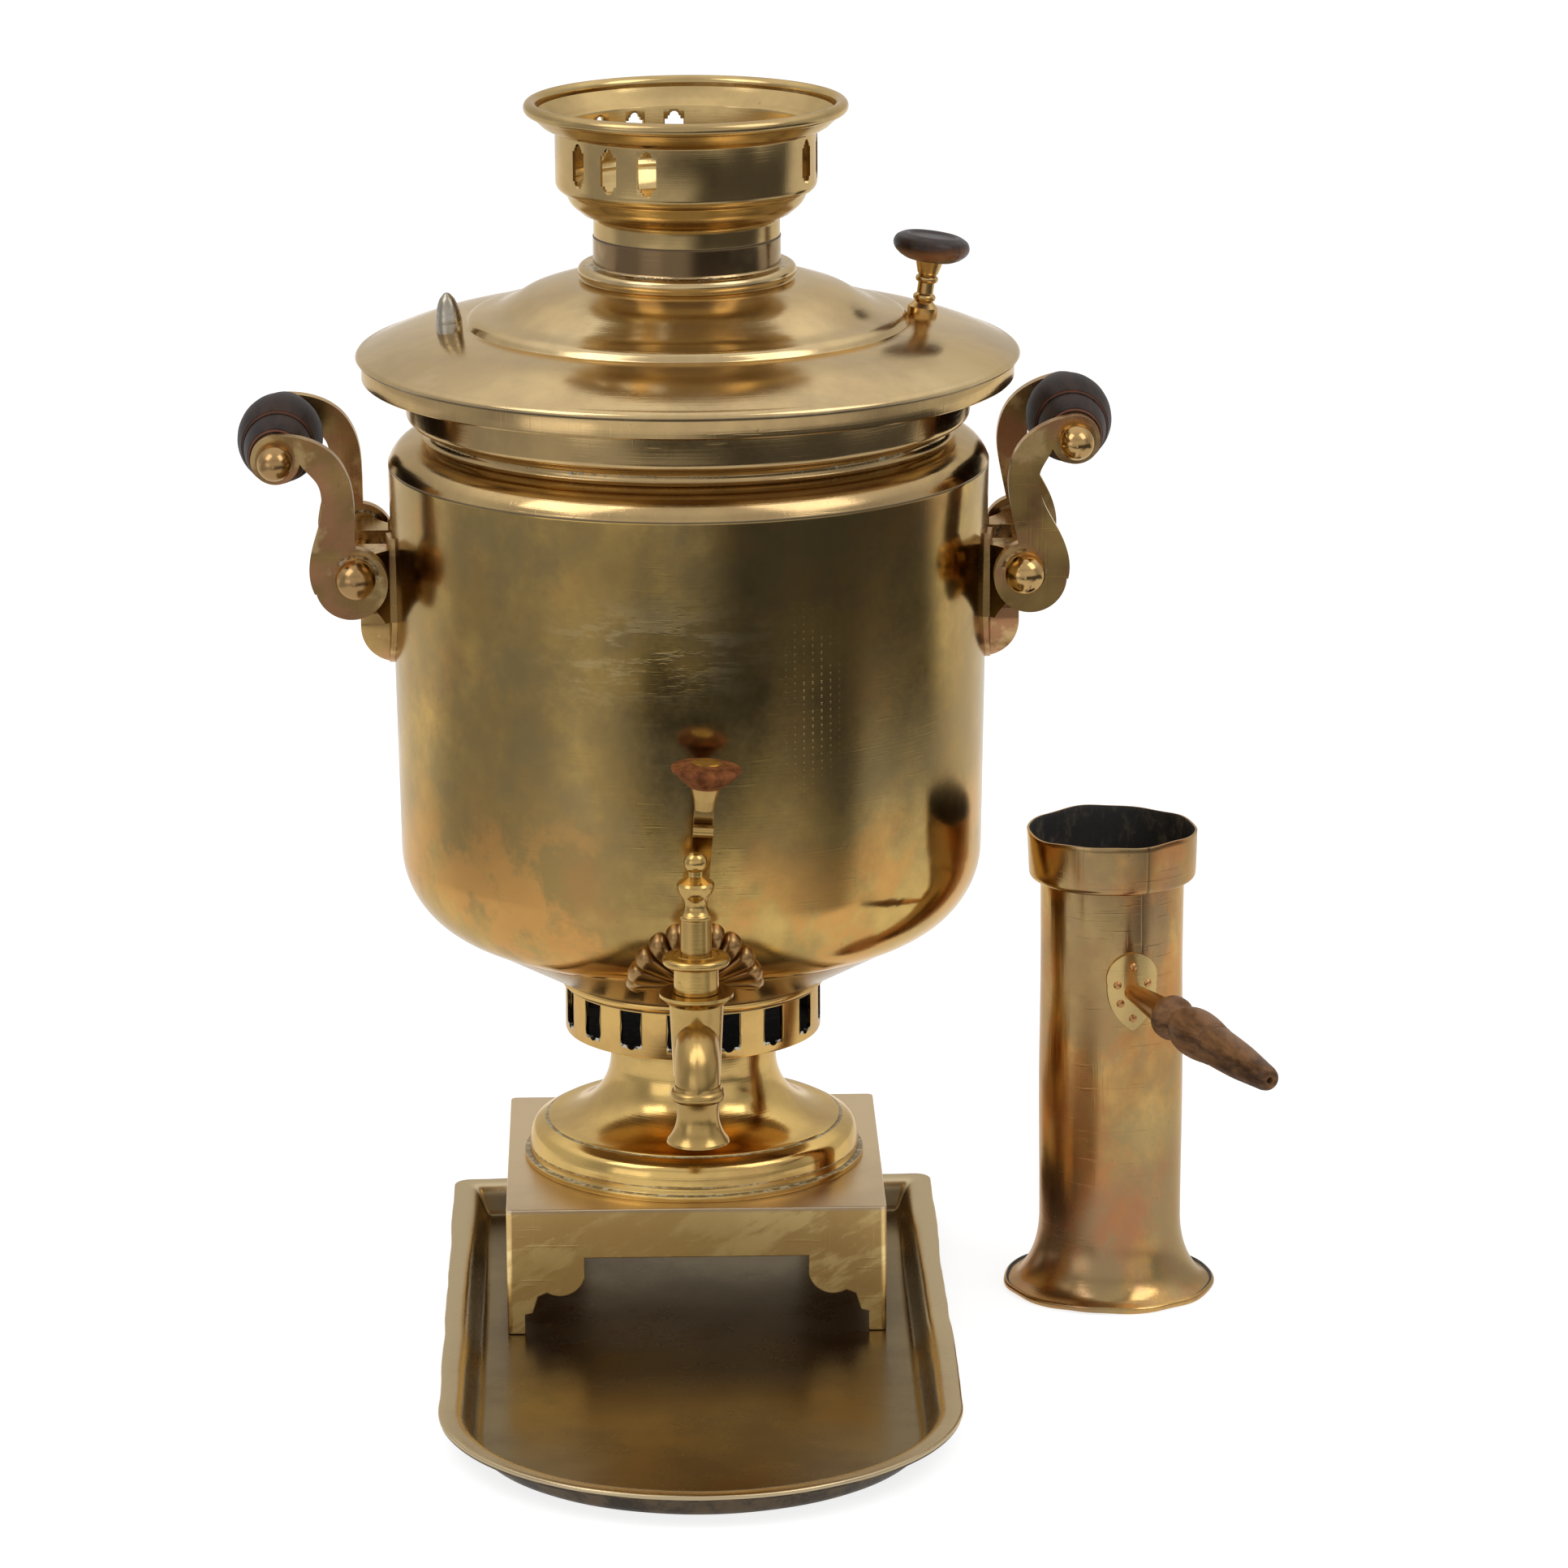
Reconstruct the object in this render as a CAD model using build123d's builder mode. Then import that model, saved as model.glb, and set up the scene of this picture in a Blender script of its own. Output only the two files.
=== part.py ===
"""Charcoal samovar of spun and cast brass, with its drip tray and its loose chimney pipe.

Millimetres, +Z up. The origin lies on the samovar's axis, on the table under the tray.
The front of the samovar, with the tap, faces -Y.
"""

import os
from math import asin, atan2, cos, degrees, radians, sin, sqrt

from build123d import *

# ---------------------------------------------------------------- fits
turn_gap = 0.05  # radial play of a piece that turns on a pin or in a bore
move_gap = 0.3  # play between faces that lift or swing past each other
set_gap = 0.03  # play in a joint that is screwed, pinned or soldered

# ---------------------------------------------------------------- drip tray
tray_sheet = 1.2
tray_width = 208.0
tray_back = 94.5  # samovar's axis to the back edge
tray_front = 303.0  # samovar's axis to the tip of the round front
tray_height = 14.0
tray_rim = 8.5  # flat rim, seen from above
tray_slope = 6.5  # sloping side, seen from above
tray_corner = 7.0
tray_floor_corner = 3.0

# ---------------------------------------------------------------- square base
base_side = 156.2
base_height = 53.7
base_wall = 3.5
base_plate = 3.0
base_corner = 2.5
arch_height = 32.5  # underside of the apron above the feet
foot_width = 7.3
foot_height = 8.2
foot_step = 3.2  # small step above the foot
foot_slant = 2.2
bracket_height = 16.0
lobe_start = 16.5  # outer end of the hanging lobe, from the corner
lobe_end = 32.0  # inner end of the lobe, from the corner

# ---------------------------------------------------------------- pedestal
pedestal_sheet = 1.6
pedestal_height = 55.5
disc_radius = 71.1
disc_edge = 2.4
torus_radius = 69.0
torus_low = 5.7
torus_high = 16.4
torus_top_radius = 62.4
stem_radius = 34.6

# ---------------------------------------------------------------- vent ring and grate
vent_radius = 53.3
vent_height = 24.9
vent_sheet = 1.5
vent_bead = 2.2  # radius of the rolled top edge
vent_slots = 16
vent_slot_width = 8.3
vent_slot_height = 13.4
vent_slot_low = 5.6  # foot of the straight slot above the ring's underside
vent_lobe = 2.1
vent_turn = -96.9  # direction of the first slot
ledge_width = 5.0
ledge_sheet = 1.2
grate_thickness = 2.8
grate_slots = 7
grate_slot_width = 5.0
grate_bar = 7.0  # width of a bar between two slots

# ---------------------------------------------------------------- body
body_sheet = 1.2
bowl_radius = 37.0  # round of the body's lower edge
bowl_rise = 55.9  # vent ring's top to where the wall turns upright
wall_low_radius = 120.4
wall_flare = 2.8  # how much wider the wall is at its top
wall_height = 161.1
skirt_radius = 57.5  # foot of the conical bottom
crease_radius = 95.4  # where the cone meets the round
shoulder_lip = 0.8
shoulder_rise = 11.9
shoulder_bulge = 2.0
cove_depth = 15.8  # cove's floor inside the wall's top
cove_rise = 3.4
neck_low_rise = 19.5
neck_step = 8.0  # neck's foot outside the cove's floor
neck_top_rise = 35.6
neck_flare = 1.6
rim_reach = 16.4  # rim's edge outside the neck
rim_height = 8.3
rim_land = 5.0  # flat on top of the rim, where the lid rests

# ---------------------------------------------------------------- fire tube
tube_wall = 1.5
tube_foot_radius = 49.0
tube_radius = 35.2
tube_foot_height = 24.0
tube_cone_height = 90.0
tube_below_neck = 10.0  # its end lies this far below the end of the lid's neck

# ---------------------------------------------------------------- lid
lid_sheet = 1.2
lid_overhang = 2.5  # lid's edge outside the rim
lid_edge_rise = 1.6
lid_plate_step = 1.0  # flat plate's start outside the dome
lid_plate_rise = 13.9
dome_radius = 90.2
dome_edge_rise = 17.9
dome_waist_radius = 68.0  # where the dome turns from round to hollow
dome_waist_rise = 25.6
collar_radius = 44.6
collar_low_rise = 32.3
collar_high_rise = 38.4
lid_neck_radius = 38.3
lid_neck_rise = 49.5
lid_spigot_play = 0.8  # between the spigot and the neck's narrowest inside
lid_spigot_depth = 16.0

# ---------------------------------------------------------------- lid knob and stud
fitting_circle = 98.0  # radius of both fittings about the axis
fitting_turn = 9.5  # direction of the knob; the stud lies opposite
screw_radius = 2.4
knob_foot_radius = 6.2
knob_waist_radius = 3.4
knob_cup_radius = 5.8
knob_stem_height = 21.5
knob_lean = 8.0
knob_radius = 15.8
knob_height = 10.5
knob_dish = 10.0
stud_radius = 5.4
stud_height = 15.5
stud_lean = 4.0
nut_flats = 9.0
nut_height = 3.5
nut_drop = 2.8  # nut's top below the lid's plate

# ---------------------------------------------------------------- crown
crown_sheet = 1.4
crown_sleeve_radius = 38.0
crown_sleeve_height = 8.2
crown_ring_radius = 49.1
crown_ring_rise = 17.6
band_radius = 53.3
band_low_rise = 23.4
band_top_rise = 43.6
crown_height = 55.5
crown_bead = 2.75
crown_outer_radius = 66.0
crown_spigot_depth = 8.0
crown_groups = 3
crown_group_turn = -126.5  # direction of the middle slot of the first group
crown_slots = 3
crown_slot_pitch = 18.7
crown_slot_width = 7.8
crown_slot_height = 12.3
crown_slot_rise = 33.0  # middle of the slots above the sleeve's foot
crown_step = 1.3
crown_lobe = 1.9

# ---------------------------------------------------------------- tap
tap_stand_off = 27.6  # plug's axis outside the foot of the upright wall
tap_rise = 16.6  # vent ring's top to the shank's axis
shank_radius = 8.5
shank_end_gap = 13.0  # water space between the shank's end and the fire tube
water_radius = 3.6  # water way
barrel_top_rise = 16.2  # shank's axis to the barrel's top
barrel_low_drop = 19.0
barrel_top_radius = 10.9
barrel_low_radius = 9.4
barrel_flange_radius = 14.75
barrel_flange = 2.2
plug_top_radius = 7.9
plug_low_radius = 6.4
plug_end = 2.0
plug_neck_radius = 9.0
plug_neck_height = 11.0
plug_collar_radius = 13.5
plug_collar = 4.4
stem_pin_radius = 6.25
stem_pin_height = 16.4
finial_ring_radius = 6.7
finial_waist_radius = 4.5
finial_cap_radius = 7.5
finial_ball = 4.65
spout_reach = 25.0  # plug's axis to the spout's axis
spout_bend = 14.0
spout_half = 8.85
spout_keel = 9.6  # section's axis to its front ridge
spout_start_drop = 3.0
spout_bead_drop = 18.3  # shank's axis to the bead's middle
spout_mouth_drop = 37.8
spout_bead_radius = 10.9
spout_waist_radius = 8.4
spout_mouth_radius = 12.4
spout_mouth_bore = 8.8

# ---------------------------------------------------------------- tap lever
lever_width = 8.0
lever_strap = 2.2
lever_lean = 3.6
lever_belly = 15.0  # how far the strap bows back from the plug's axis
lever_head = 4.0  # ferrule's axis behind the plug's axis
lever_height = 58.0  # collar's top to the ferrule's foot
lever_curl = 2.6
ferrule_low_radius = 3.9
ferrule_top_radius = 5.8
ferrule_height = 9.0
tap_knob_radius = 14.0
tap_knob_height = 10.0
inlay_radius = 6.0
inlay_depth = 1.5

# ---------------------------------------------------------------- shell behind the tap
shell_lobes = 11
shell_fan = 160.0  # angle between the outermost lobes
shell_half_width = 24.0
shell_height = 30.0
shell_root_rise = 3.6  # root of the lobes above the shank's axis
shell_tip = 4.3
shell_root = 2.0

# ---------------------------------------------------------------- handles
pivot_stand_off = 12.9  # pivots outside the wall
pivot_drop = 37.9  # body's sharp upper edge to the pivots
pivot_radius = 3.0
lug_outside = 39.7  # outer faces of the two lugs from the middle
lug_width = 27.0
lug_nose = 6.4
lug_depth = 24.0
lug_bite = 10.1  # how far the casting's blank reaches into the wall, which trims it
lug_web = 11.0  # pivots to the solid root between two lugs
lug_slot = 20.0  # length of the straight part of the slot between two lugs
lug_heel = 4.5  # pivots to where a lug's outer face turns back to the shield
lug_hollow = 2.0  # how deep that turned-back face is hollowed
shield_sheet = 2.2
shield_half_width = 25.0
shield_top = 11.0  # above the pivots
shield_tip = 46.5  # below the pivots
drop_depth = 13.0
drop_top = 26.5  # below the pivots
arm_thickness = 6.0
arm_length = 57.9
arm_eye_radius = 10.0
arm_scroll_radius = 14.8
arm_scroll_out = 3.2
arm_scroll_drop = 1.4
left_lean = 33.1
right_lean = 20.8
rod_radius = 3.0
washer_radius = 8.0
washer_height = 1.5
upper_ball = 7.0
lower_ball = 8.2
ball_sink = 5.0  # flat back of a ball to its middle
grip_end_radius = 11.5
grip_ring_radius = 14.0
grip_radius = 17.5
grip_ring_from_middle = 20.0
grip_groove = 0.6

# ---------------------------------------------------------------- chimney pipe
pipe_x = 174.3
pipe_y = -16.4
pipe_sheet = 1.2
pipe_radius = 30.0
pipe_height = 199.3
flare_radius = 44.8
flare_height = 30.0
flare_hem = 1.6
hood_radius = 35.6
hood_low_radius = 34.6
hood_height = 21.5
hood_lap = 4.0  # how far the hood grips the pipe
leaf_turn = -77.5  # direction of the handle's plate
leaf_rise = 136.0
leaf_width = 21.0
leaf_height = 33.0
leaf_sheet = 1.4
rivet_radius = 1.4
rivet_head = 0.9
handle_turn = -66.5  # direction of the handle
handle_droop = 2.7
socket_length = 31.0
socket_root_radius = 3.6
socket_radius = 6.4
socket_wall = 1.2
tang_radius = 2.2
tang_length = 40.0
wood_length = 86.0
wood_collar_radius = 9.2
wood_neck_radius = 5.4
wood_belly_radius = 10.0
wood_end_radius = 4.6

# ---------------------------------------------------------------- radii that follow
wall_top_radius = wall_low_radius + wall_flare
cove_radius = wall_top_radius - cove_depth
neck_low_radius = cove_radius + neck_step
neck_top_radius = neck_low_radius + neck_flare
rim_radius = neck_top_radius + rim_reach
lid_radius = rim_radius + lid_overhang
lid_plate_radius = dome_radius + lid_plate_step
lid_spigot_radius = neck_low_radius - body_sheet - lid_spigot_play
tap_reach = wall_low_radius + tap_stand_off

# ---------------------------------------------------------------- levels that follow
floor_top = tray_sheet
base_top = floor_top + base_height
vent_low = base_top + pedestal_height
vent_top = vent_low + vent_height
wall_low = vent_top + bowl_rise
wall_top = wall_low + wall_height
rim_low = wall_top + neck_top_rise
rim_top = rim_low + rim_height
neck_end = rim_top + lid_neck_rise
shank_level = vent_top + tap_rise
barrel_top = shank_level + barrel_top_rise
collar_top = barrel_top + move_gap + plug_neck_height + plug_collar
pivot_level = wall_top - pivot_drop

pieces = {}


def keep(name, builder):
    """Label a finished piece and keep it for export."""
    builder.part.label = name
    pieces[name] = builder.part


def bowl_height(radius):
    """Height of the body's outer surface at a radius, on its round lower edge."""
    centre = wall_low_radius - bowl_radius
    return wall_low - sqrt(bowl_radius**2 - (radius - centre) ** 2)


def wall_radius(level):
    """Radius of the body's outer surface at a level."""
    if level < wall_low:
        centre = wall_low_radius - bowl_radius
        return centre + sqrt(bowl_radius**2 - min(wall_low - level, bowl_radius) ** 2)
    return wall_low_radius + (level - wall_low) / wall_height * wall_flare


pivot_reach = wall_radius(pivot_level) + pivot_stand_off
lug_root = pivot_stand_off + lug_bite


def facing(turn, level):
    """Upright plane through the axis that looks outward at a turn, its own Y upward."""
    x, y = cos(radians(turn)), sin(radians(turn))
    return Plane(origin=(0, 0, level), x_dir=(-y, x, 0), z_dir=(x, y, 0))


# ================================================================ drip tray
def tray_outline(inset, level, corner):
    """Straight sides and back, and a half-round front, drawn at a level."""
    half = tray_width / 2
    with BuildSketch(Plane.XY.offset(level)) as outline:
        with BuildLine():
            front = half - tray_front
            left, right, back = inset - half, half - inset, tray_back - inset
            Polyline((left, front), (left, back), (right, back), (right, front))
            ThreePointArc((right, front), (0, inset - tray_front), (left, front))
        make_face()
        fillet(outline.vertices().group_by(Axis.Y)[-1], corner)
    return outline.sketch


with BuildPart() as drip_tray:
    foot_inset = tray_rim + tray_slope
    loft([tray_outline(foot_inset, 0, tray_floor_corner),
          tray_outline(tray_rim, tray_height, tray_corner - 2)], ruled=True)
    add(tray_outline(0, tray_height - tray_sheet, tray_corner))
    extrude(amount=tray_sheet)
    loft([tray_outline(foot_inset + tray_sheet, tray_sheet, tray_floor_corner - 1),
          tray_outline(tray_rim + tray_sheet, tray_height, tray_corner - 3)],
         ruled=True, mode=Mode.SUBTRACT)
keep("drip_tray", drip_tray)

# ================================================================ square base on four feet
half_side = base_side / 2
lobe_mid = (lobe_start + lobe_end) / 2
with BuildPart() as base_plinth:
    with BuildSketch(Plane.XY.offset(floor_top)):
        RectangleRounded(base_side, base_side, base_corner)
    extrude(amount=base_height)
    with BuildSketch(Plane.XY.offset(floor_top)):
        Rectangle(base_side - 2 * base_wall, base_side - 2 * base_wall)
    extrude(amount=base_height - base_plate, mode=Mode.SUBTRACT)
    for side_plane in (Plane.XZ, Plane.YZ):
        with BuildSketch(side_plane) as arch:
            with BuildLine():
                sole = floor_top - 1
                ankle = half_side - foot_width
                heel = floor_top + foot_height
                shelf = ankle - foot_step
                knee = (shelf - foot_slant, floor_top + bracket_height)
                hollow = (half_side - lobe_start, floor_top + bracket_height + 1.6)
                lobe_low = (half_side - lobe_mid, floor_top + bracket_height + 0.4)
                lobe_side = (half_side - lobe_end, floor_top + bracket_height + 8)
                crown_corner = (half_side - lobe_end, floor_top + arch_height)
                Polyline((0, sole), (ankle, sole), (ankle, heel), (shelf, heel + 0.8), knee, hollow)
                ThreePointArc(hollow, lobe_low, lobe_side)
                Polyline(lobe_side, crown_corner, (0, floor_top + arch_height), (0, sole))
            make_face()
            mirror(about=Plane.YZ)
        extrude(amount=base_side, both=True, mode=Mode.SUBTRACT)
keep("base_plinth", base_plinth)

# ================================================================ pedestal
with BuildPart() as pedestal:
    with BuildSketch(Plane.XZ):
        with BuildLine():
            edge = Polyline((disc_radius, base_top), (disc_radius, base_top + disc_edge),
                            (torus_radius, base_top + disc_edge), (torus_radius, base_top + torus_low))
            torus = ThreePointArc(edge @ 1,
                                  (torus_radius - 0.9, base_top + (torus_low + torus_high) * 0.56),
                                  (torus_top_radius, base_top + torus_high))
            scotia = torus_top_radius - 1.2 - stem_radius
            lip = Polyline(torus @ 1, (torus_top_radius - 1.2, base_top + torus_high),
                           (torus_top_radius - 1.2, base_top + torus_high + 0.8))
            flare = RadiusArc(lip @ 1, (stem_radius, base_top + torus_high + 0.8 + scotia), scotia)
            Line(flare @ 1, (stem_radius, vent_low))
            offset(amount=pedestal_sheet, side=Side.LEFT)
        make_face()
    revolve(axis=Axis.Z)
keep("pedestal", pedestal)

# ================================================================ vent ring
with BuildPart() as vent_ring:
    with BuildSketch(Plane.XZ) as section:
        with Locations((0, vent_low)):
            Rectangle(vent_radius, vent_sheet, align=Align.MIN)
        with Locations((vent_radius - vent_sheet, vent_low)):
            Rectangle(vent_sheet, vent_height, align=Align.MIN)
        with Locations((vent_radius - ledge_width, vent_top - grate_thickness - ledge_sheet)):
            Rectangle(ledge_width, ledge_sheet, align=Align.MIN)
        with Locations((vent_radius, vent_top - vent_bead)):
            Circle(vent_bead)
        low_edge = section.vertices().sort_by(Axis.Y)[:2].sort_by(Axis.X)[-1]
        fillet(low_edge, vent_sheet * 0.8)
    revolve(axis=Axis.Z)
    for slot in range(vent_slots):
        with BuildSketch(facing(vent_turn + slot * 360 / vent_slots, vent_low + vent_slot_low)):
            with Locations((0, vent_slot_height / 2)):
                Rectangle(vent_slot_width, vent_slot_height)
            Circle(vent_lobe)
        extrude(amount=vent_radius + 3 * vent_bead, mode=Mode.SUBTRACT)
keep("vent_ring", vent_ring)

# ================================================================ fire grate
with BuildPart() as fire_grate:
    with BuildSketch(Plane.XY.offset(vent_top - grate_thickness)):
        Circle(vent_radius - vent_bead - move_gap)
        reach = vent_radius - vent_bead - grate_bar
        for bar in range(grate_slots):
            across = (bar - (grate_slots - 1) / 2) * (grate_slot_width + grate_bar)
            with Locations((0, across)):
                SlotOverall(2 * sqrt(reach**2 - across**2), grate_slot_width, mode=Mode.SUBTRACT)
    extrude(amount=grate_thickness - set_gap)
keep("fire_grate", fire_grate)

# ================================================================ body
with BuildPart() as body_wall:
    with BuildSketch(Plane.XZ):
        with BuildLine():
            crease = (crease_radius, bowl_height(crease_radius))
            cone = Polyline((tube_foot_radius, vent_top), (skirt_radius, vent_top), crease)
            bowl = RadiusArc(crease, (wall_low_radius, wall_low), -bowl_radius)
            Line(bowl @ 1, (wall_top_radius, wall_top))
            offset(amount=body_sheet, side=Side.LEFT)
        make_face()
    revolve(axis=Axis.Z)
    with Locations(Location((0, 0, shank_level), (90, 0, 0))):
        Cylinder(shank_radius + set_gap, tap_reach, align=(Align.CENTER, Align.CENTER, Align.MIN),
                 mode=Mode.SUBTRACT)
keep("body_wall", body_wall)

# The same outline as a filled core, to seat castings on the wall.
with BuildPart() as body_core:
    with BuildSketch(Plane.XZ):
        with BuildLine():
            low = Polyline((0, vent_top), (skirt_radius, vent_top), crease)
            curve = RadiusArc(crease, (wall_low_radius, wall_low), -bowl_radius)
            Polyline(curve @ 1, (wall_top_radius, wall_top), (0, wall_top), (0, vent_top))
        make_face()
    revolve(axis=Axis.Z)

# ================================================================ shoulder, neck and rim
with BuildPart() as neck_ring:
    with BuildSketch(Plane.XZ):
        with BuildLine():
            shoulder_end = (cove_radius + 1.5, wall_top + shoulder_rise)
            shoulder_mid = ((wall_top_radius + shoulder_end[0]) / 2 + shoulder_bulge * 0.64,
                            wall_top + shoulder_rise / 2 + shoulder_bulge * 0.77)
            Line((wall_top_radius, wall_top + set_gap), (wall_top_radius, wall_top + shoulder_lip))
            ThreePointArc((wall_top_radius, wall_top + shoulder_lip), shoulder_mid, shoulder_end)
            cove_end = (cove_radius + 3.1, wall_top + neck_low_rise - 0.9)
            ThreePointArc(shoulder_end, (cove_radius, wall_top + shoulder_rise + cove_rise), cove_end)
            neck_start = (neck_low_radius, wall_top + neck_low_rise + 3)
            ThreePointArc(cove_end, (neck_low_radius - 1.2, wall_top + neck_low_rise - 0.3), neck_start)
            Polyline(neck_start, (neck_top_radius, rim_low), (rim_radius, rim_low),
                     (rim_radius, rim_top), (rim_radius - rim_land, rim_top))
            offset(amount=body_sheet, side=Side.LEFT)
        make_face()
    revolve(axis=Axis.Z)
keep("neck_ring", neck_ring)

# ================================================================ fire tube
with BuildPart() as fire_tube:
    with BuildSketch(Plane.XZ):
        with BuildLine():
            foot_radius = tube_foot_radius - set_gap
            cone_foot = vent_top + tube_foot_height
            Polyline((foot_radius, vent_top), (foot_radius, cone_foot),
                     (tube_radius, cone_foot + tube_cone_height), (tube_radius, neck_end - tube_below_neck))
            offset(amount=tube_wall, side=Side.LEFT)
        make_face()
    revolve(axis=Axis.Z)
keep("fire_tube", fire_tube)

# ================================================================ lid
def lid_outline(inset):
    """The lid's line from the top of its neck outward to its edge, shifted inward and down."""

    def at(radius, rise):
        return (radius - inset, rim_top + rise - inset)

    neck = Polyline(at(lid_neck_radius, lid_neck_rise), at(lid_neck_radius, collar_high_rise),
                    at(lid_neck_radius + 2.4, collar_high_rise - 0.6))
    collar = ThreePointArc(neck @ 1, at(collar_radius, (collar_high_rise + collar_low_rise) / 2),
                           at(collar_radius - 0.6, collar_low_rise))
    roll = at(dome_radius - 4.2, dome_edge_rise)
    Spline(collar @ 1, at(dome_waist_radius - 9, dome_waist_rise + 3.6), at(dome_waist_radius, dome_waist_rise),
           at(dome_waist_radius + 8, dome_waist_rise - 4.9), roll, tangents=[(1, -0.03), (1, -0.22)])
    edge = ThreePointArc(roll, at(dome_radius - 1.3, dome_edge_rise - 1.2), at(dome_radius, dome_edge_rise - 3.3))
    step = Line(edge @ 1, at(lid_plate_radius, lid_plate_rise))
    lip_start = at(lid_radius - 3, lid_edge_rise + 1.5)
    Spline(step @ 1, lip_start, tangents=[(1, -0.05), (1, -0.48)])
    lip = ThreePointArc(lip_start, at(lid_radius - 0.8, lid_edge_rise + 0.5), at(lid_radius, lid_edge_rise - 0.6))
    Line(lip @ 1, at(lid_radius, 0))


# The lid's outline as a filled core, to hollow the lid from and to seat the fittings on it.
with BuildPart() as lid_core:
    with BuildSketch(Plane.XZ):
        with BuildLine():
            lid_outline(0)
            Polyline((lid_radius, rim_top), (0, rim_top), (0, neck_end), (lid_neck_radius, neck_end))
        make_face()
    revolve(axis=Axis.Z)

with BuildPart() as lid_cover:
    add(lid_core.part)
    with BuildSketch(Plane.XZ):
        with BuildLine():
            lid_outline(lid_sheet)
            throat = lid_neck_radius - lid_sheet
            Polyline((lid_radius - lid_sheet, rim_top - lid_sheet), (0, rim_top - lid_sheet), (0, neck_end + 1),
                     (throat, neck_end + 1), (throat, neck_end - lid_sheet))
        make_face()
    revolve(axis=Axis.Z, mode=Mode.SUBTRACT)
    with BuildSketch(Plane.XZ):
        with Locations((rim_radius - rim_land, rim_top)):
            Rectangle(lid_radius - rim_radius + rim_land, lid_sheet, align=Align.MIN)
        with Locations((lid_spigot_radius - lid_sheet, rim_top - lid_spigot_depth)):
            Rectangle(lid_sheet, lid_spigot_depth + lid_plate_rise * 0.7, align=Align.MIN)
    revolve(axis=Axis.Z)
    for turn in (fitting_turn, fitting_turn + 180):
        with Locations(Location((fitting_circle * cos(radians(turn)), fitting_circle * sin(radians(turn)),
                                 rim_top + lid_plate_rise))):
            Cylinder(screw_radius + set_gap, 6 * lid_sheet, mode=Mode.SUBTRACT)
keep("lid_cover", lid_cover)

# ================================================================ fittings on the lid
def fitting_axes(turn, lean):
    """Foot point, outward direction and leaning axis of a fitting on the lid."""
    x, y, tilt = cos(radians(turn)), sin(radians(turn)), radians(lean)
    foot = Vector(fitting_circle * x, fitting_circle * y, rim_top + lid_plate_rise)
    return foot, Vector(x * cos(tilt), y * cos(tilt), -sin(tilt)), Vector(x * sin(tilt), y * sin(tilt), cos(tilt))


foot, outward, upward = fitting_axes(fitting_turn, knob_lean)
knob_plane = Plane(origin=foot, x_dir=outward, z_dir=outward.cross(upward))
screw_low = rim_top + lid_plate_rise - nut_drop - nut_height - 1
with BuildPart() as knob_stem:
    with BuildSketch(knob_plane):
        with BuildLine():
            base = Polyline((0, -3), (knob_foot_radius, -3), (knob_foot_radius, 1.8), (3.6, 4.4))
            low_bead = ThreePointArc(base @ 1, (knob_foot_radius - 1.6, 5.8), (knob_waist_radius, 7.4))
            waist = Line(low_bead @ 1, (knob_waist_radius, 12.2))
            high_bead = ThreePointArc(waist @ 1, (knob_foot_radius - 1.6, 13.6), (knob_waist_radius, 15))
            Polyline(high_bead @ 1, (4.3, 16.2), (knob_cup_radius, knob_stem_height), (0, knob_stem_height), (0, -3))
        make_face()
    revolve(axis=Axis(foot, upward))
    add(lid_core.part, mode=Mode.SUBTRACT)
    with Locations(Location((foot.X, foot.Y, screw_low))):
        Cylinder(screw_radius, rim_top + lid_plate_rise + 1.5 - screw_low,
                 align=(Align.CENTER, Align.CENTER, Align.MIN))
keep("knob_stem", knob_stem)

with BuildPart() as lid_knob:
    with BuildSketch(knob_plane):
        with BuildLine():
            low, high = knob_stem_height, knob_stem_height + knob_height
            under = Line((0, low), (knob_dish, low))
            edge = ThreePointArc(under @ 1, (knob_radius, (low + high) / 2 + 0.6), (knob_dish + 1.2, high))
            Polyline(edge @ 1, (knob_dish - 0.4, high - 0.6), (0, high - 0.9), (0, low))
        make_face()
    revolve(axis=Axis(foot, upward))
keep("lid_knob", lid_knob)

foot, outward, upward = fitting_axes(fitting_turn + 180, stud_lean)
with BuildPart() as stud_cap:
    with BuildSketch(Plane(origin=foot, x_dir=outward, z_dir=outward.cross(upward))):
        with BuildLine():
            side = Polyline((0, -3), (stud_radius, -3), (stud_radius, 3.4))
            Spline(side @ 1, (stud_radius - 1.2, stud_height * 0.58), (stud_radius - 3.4, stud_height * 0.9),
                   (0, stud_height), tangents=[(0, 1), (-1, 0)])
            Line((0, stud_height), (0, -3))
        make_face()
    revolve(axis=Axis(foot, upward))
    add(lid_core.part, mode=Mode.SUBTRACT)
    with Locations(Location((foot.X, foot.Y, screw_low))):
        Cylinder(screw_radius, rim_top + lid_plate_rise + 1.5 - screw_low,
                 align=(Align.CENTER, Align.CENTER, Align.MIN))
keep("stud_cap", stud_cap)

with BuildPart() as lid_nuts:
    with BuildSketch(Plane.XY.offset(screw_low + 1)):
        for turn in (fitting_turn, fitting_turn + 180):
            with Locations((fitting_circle * cos(radians(turn)), fitting_circle * sin(radians(turn)))):
                RegularPolygon(nut_flats / 2, 6, major_radius=False)
                Circle(screw_radius + set_gap, mode=Mode.SUBTRACT)
    extrude(amount=nut_height)
keep("lid_nuts", lid_nuts)

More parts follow.
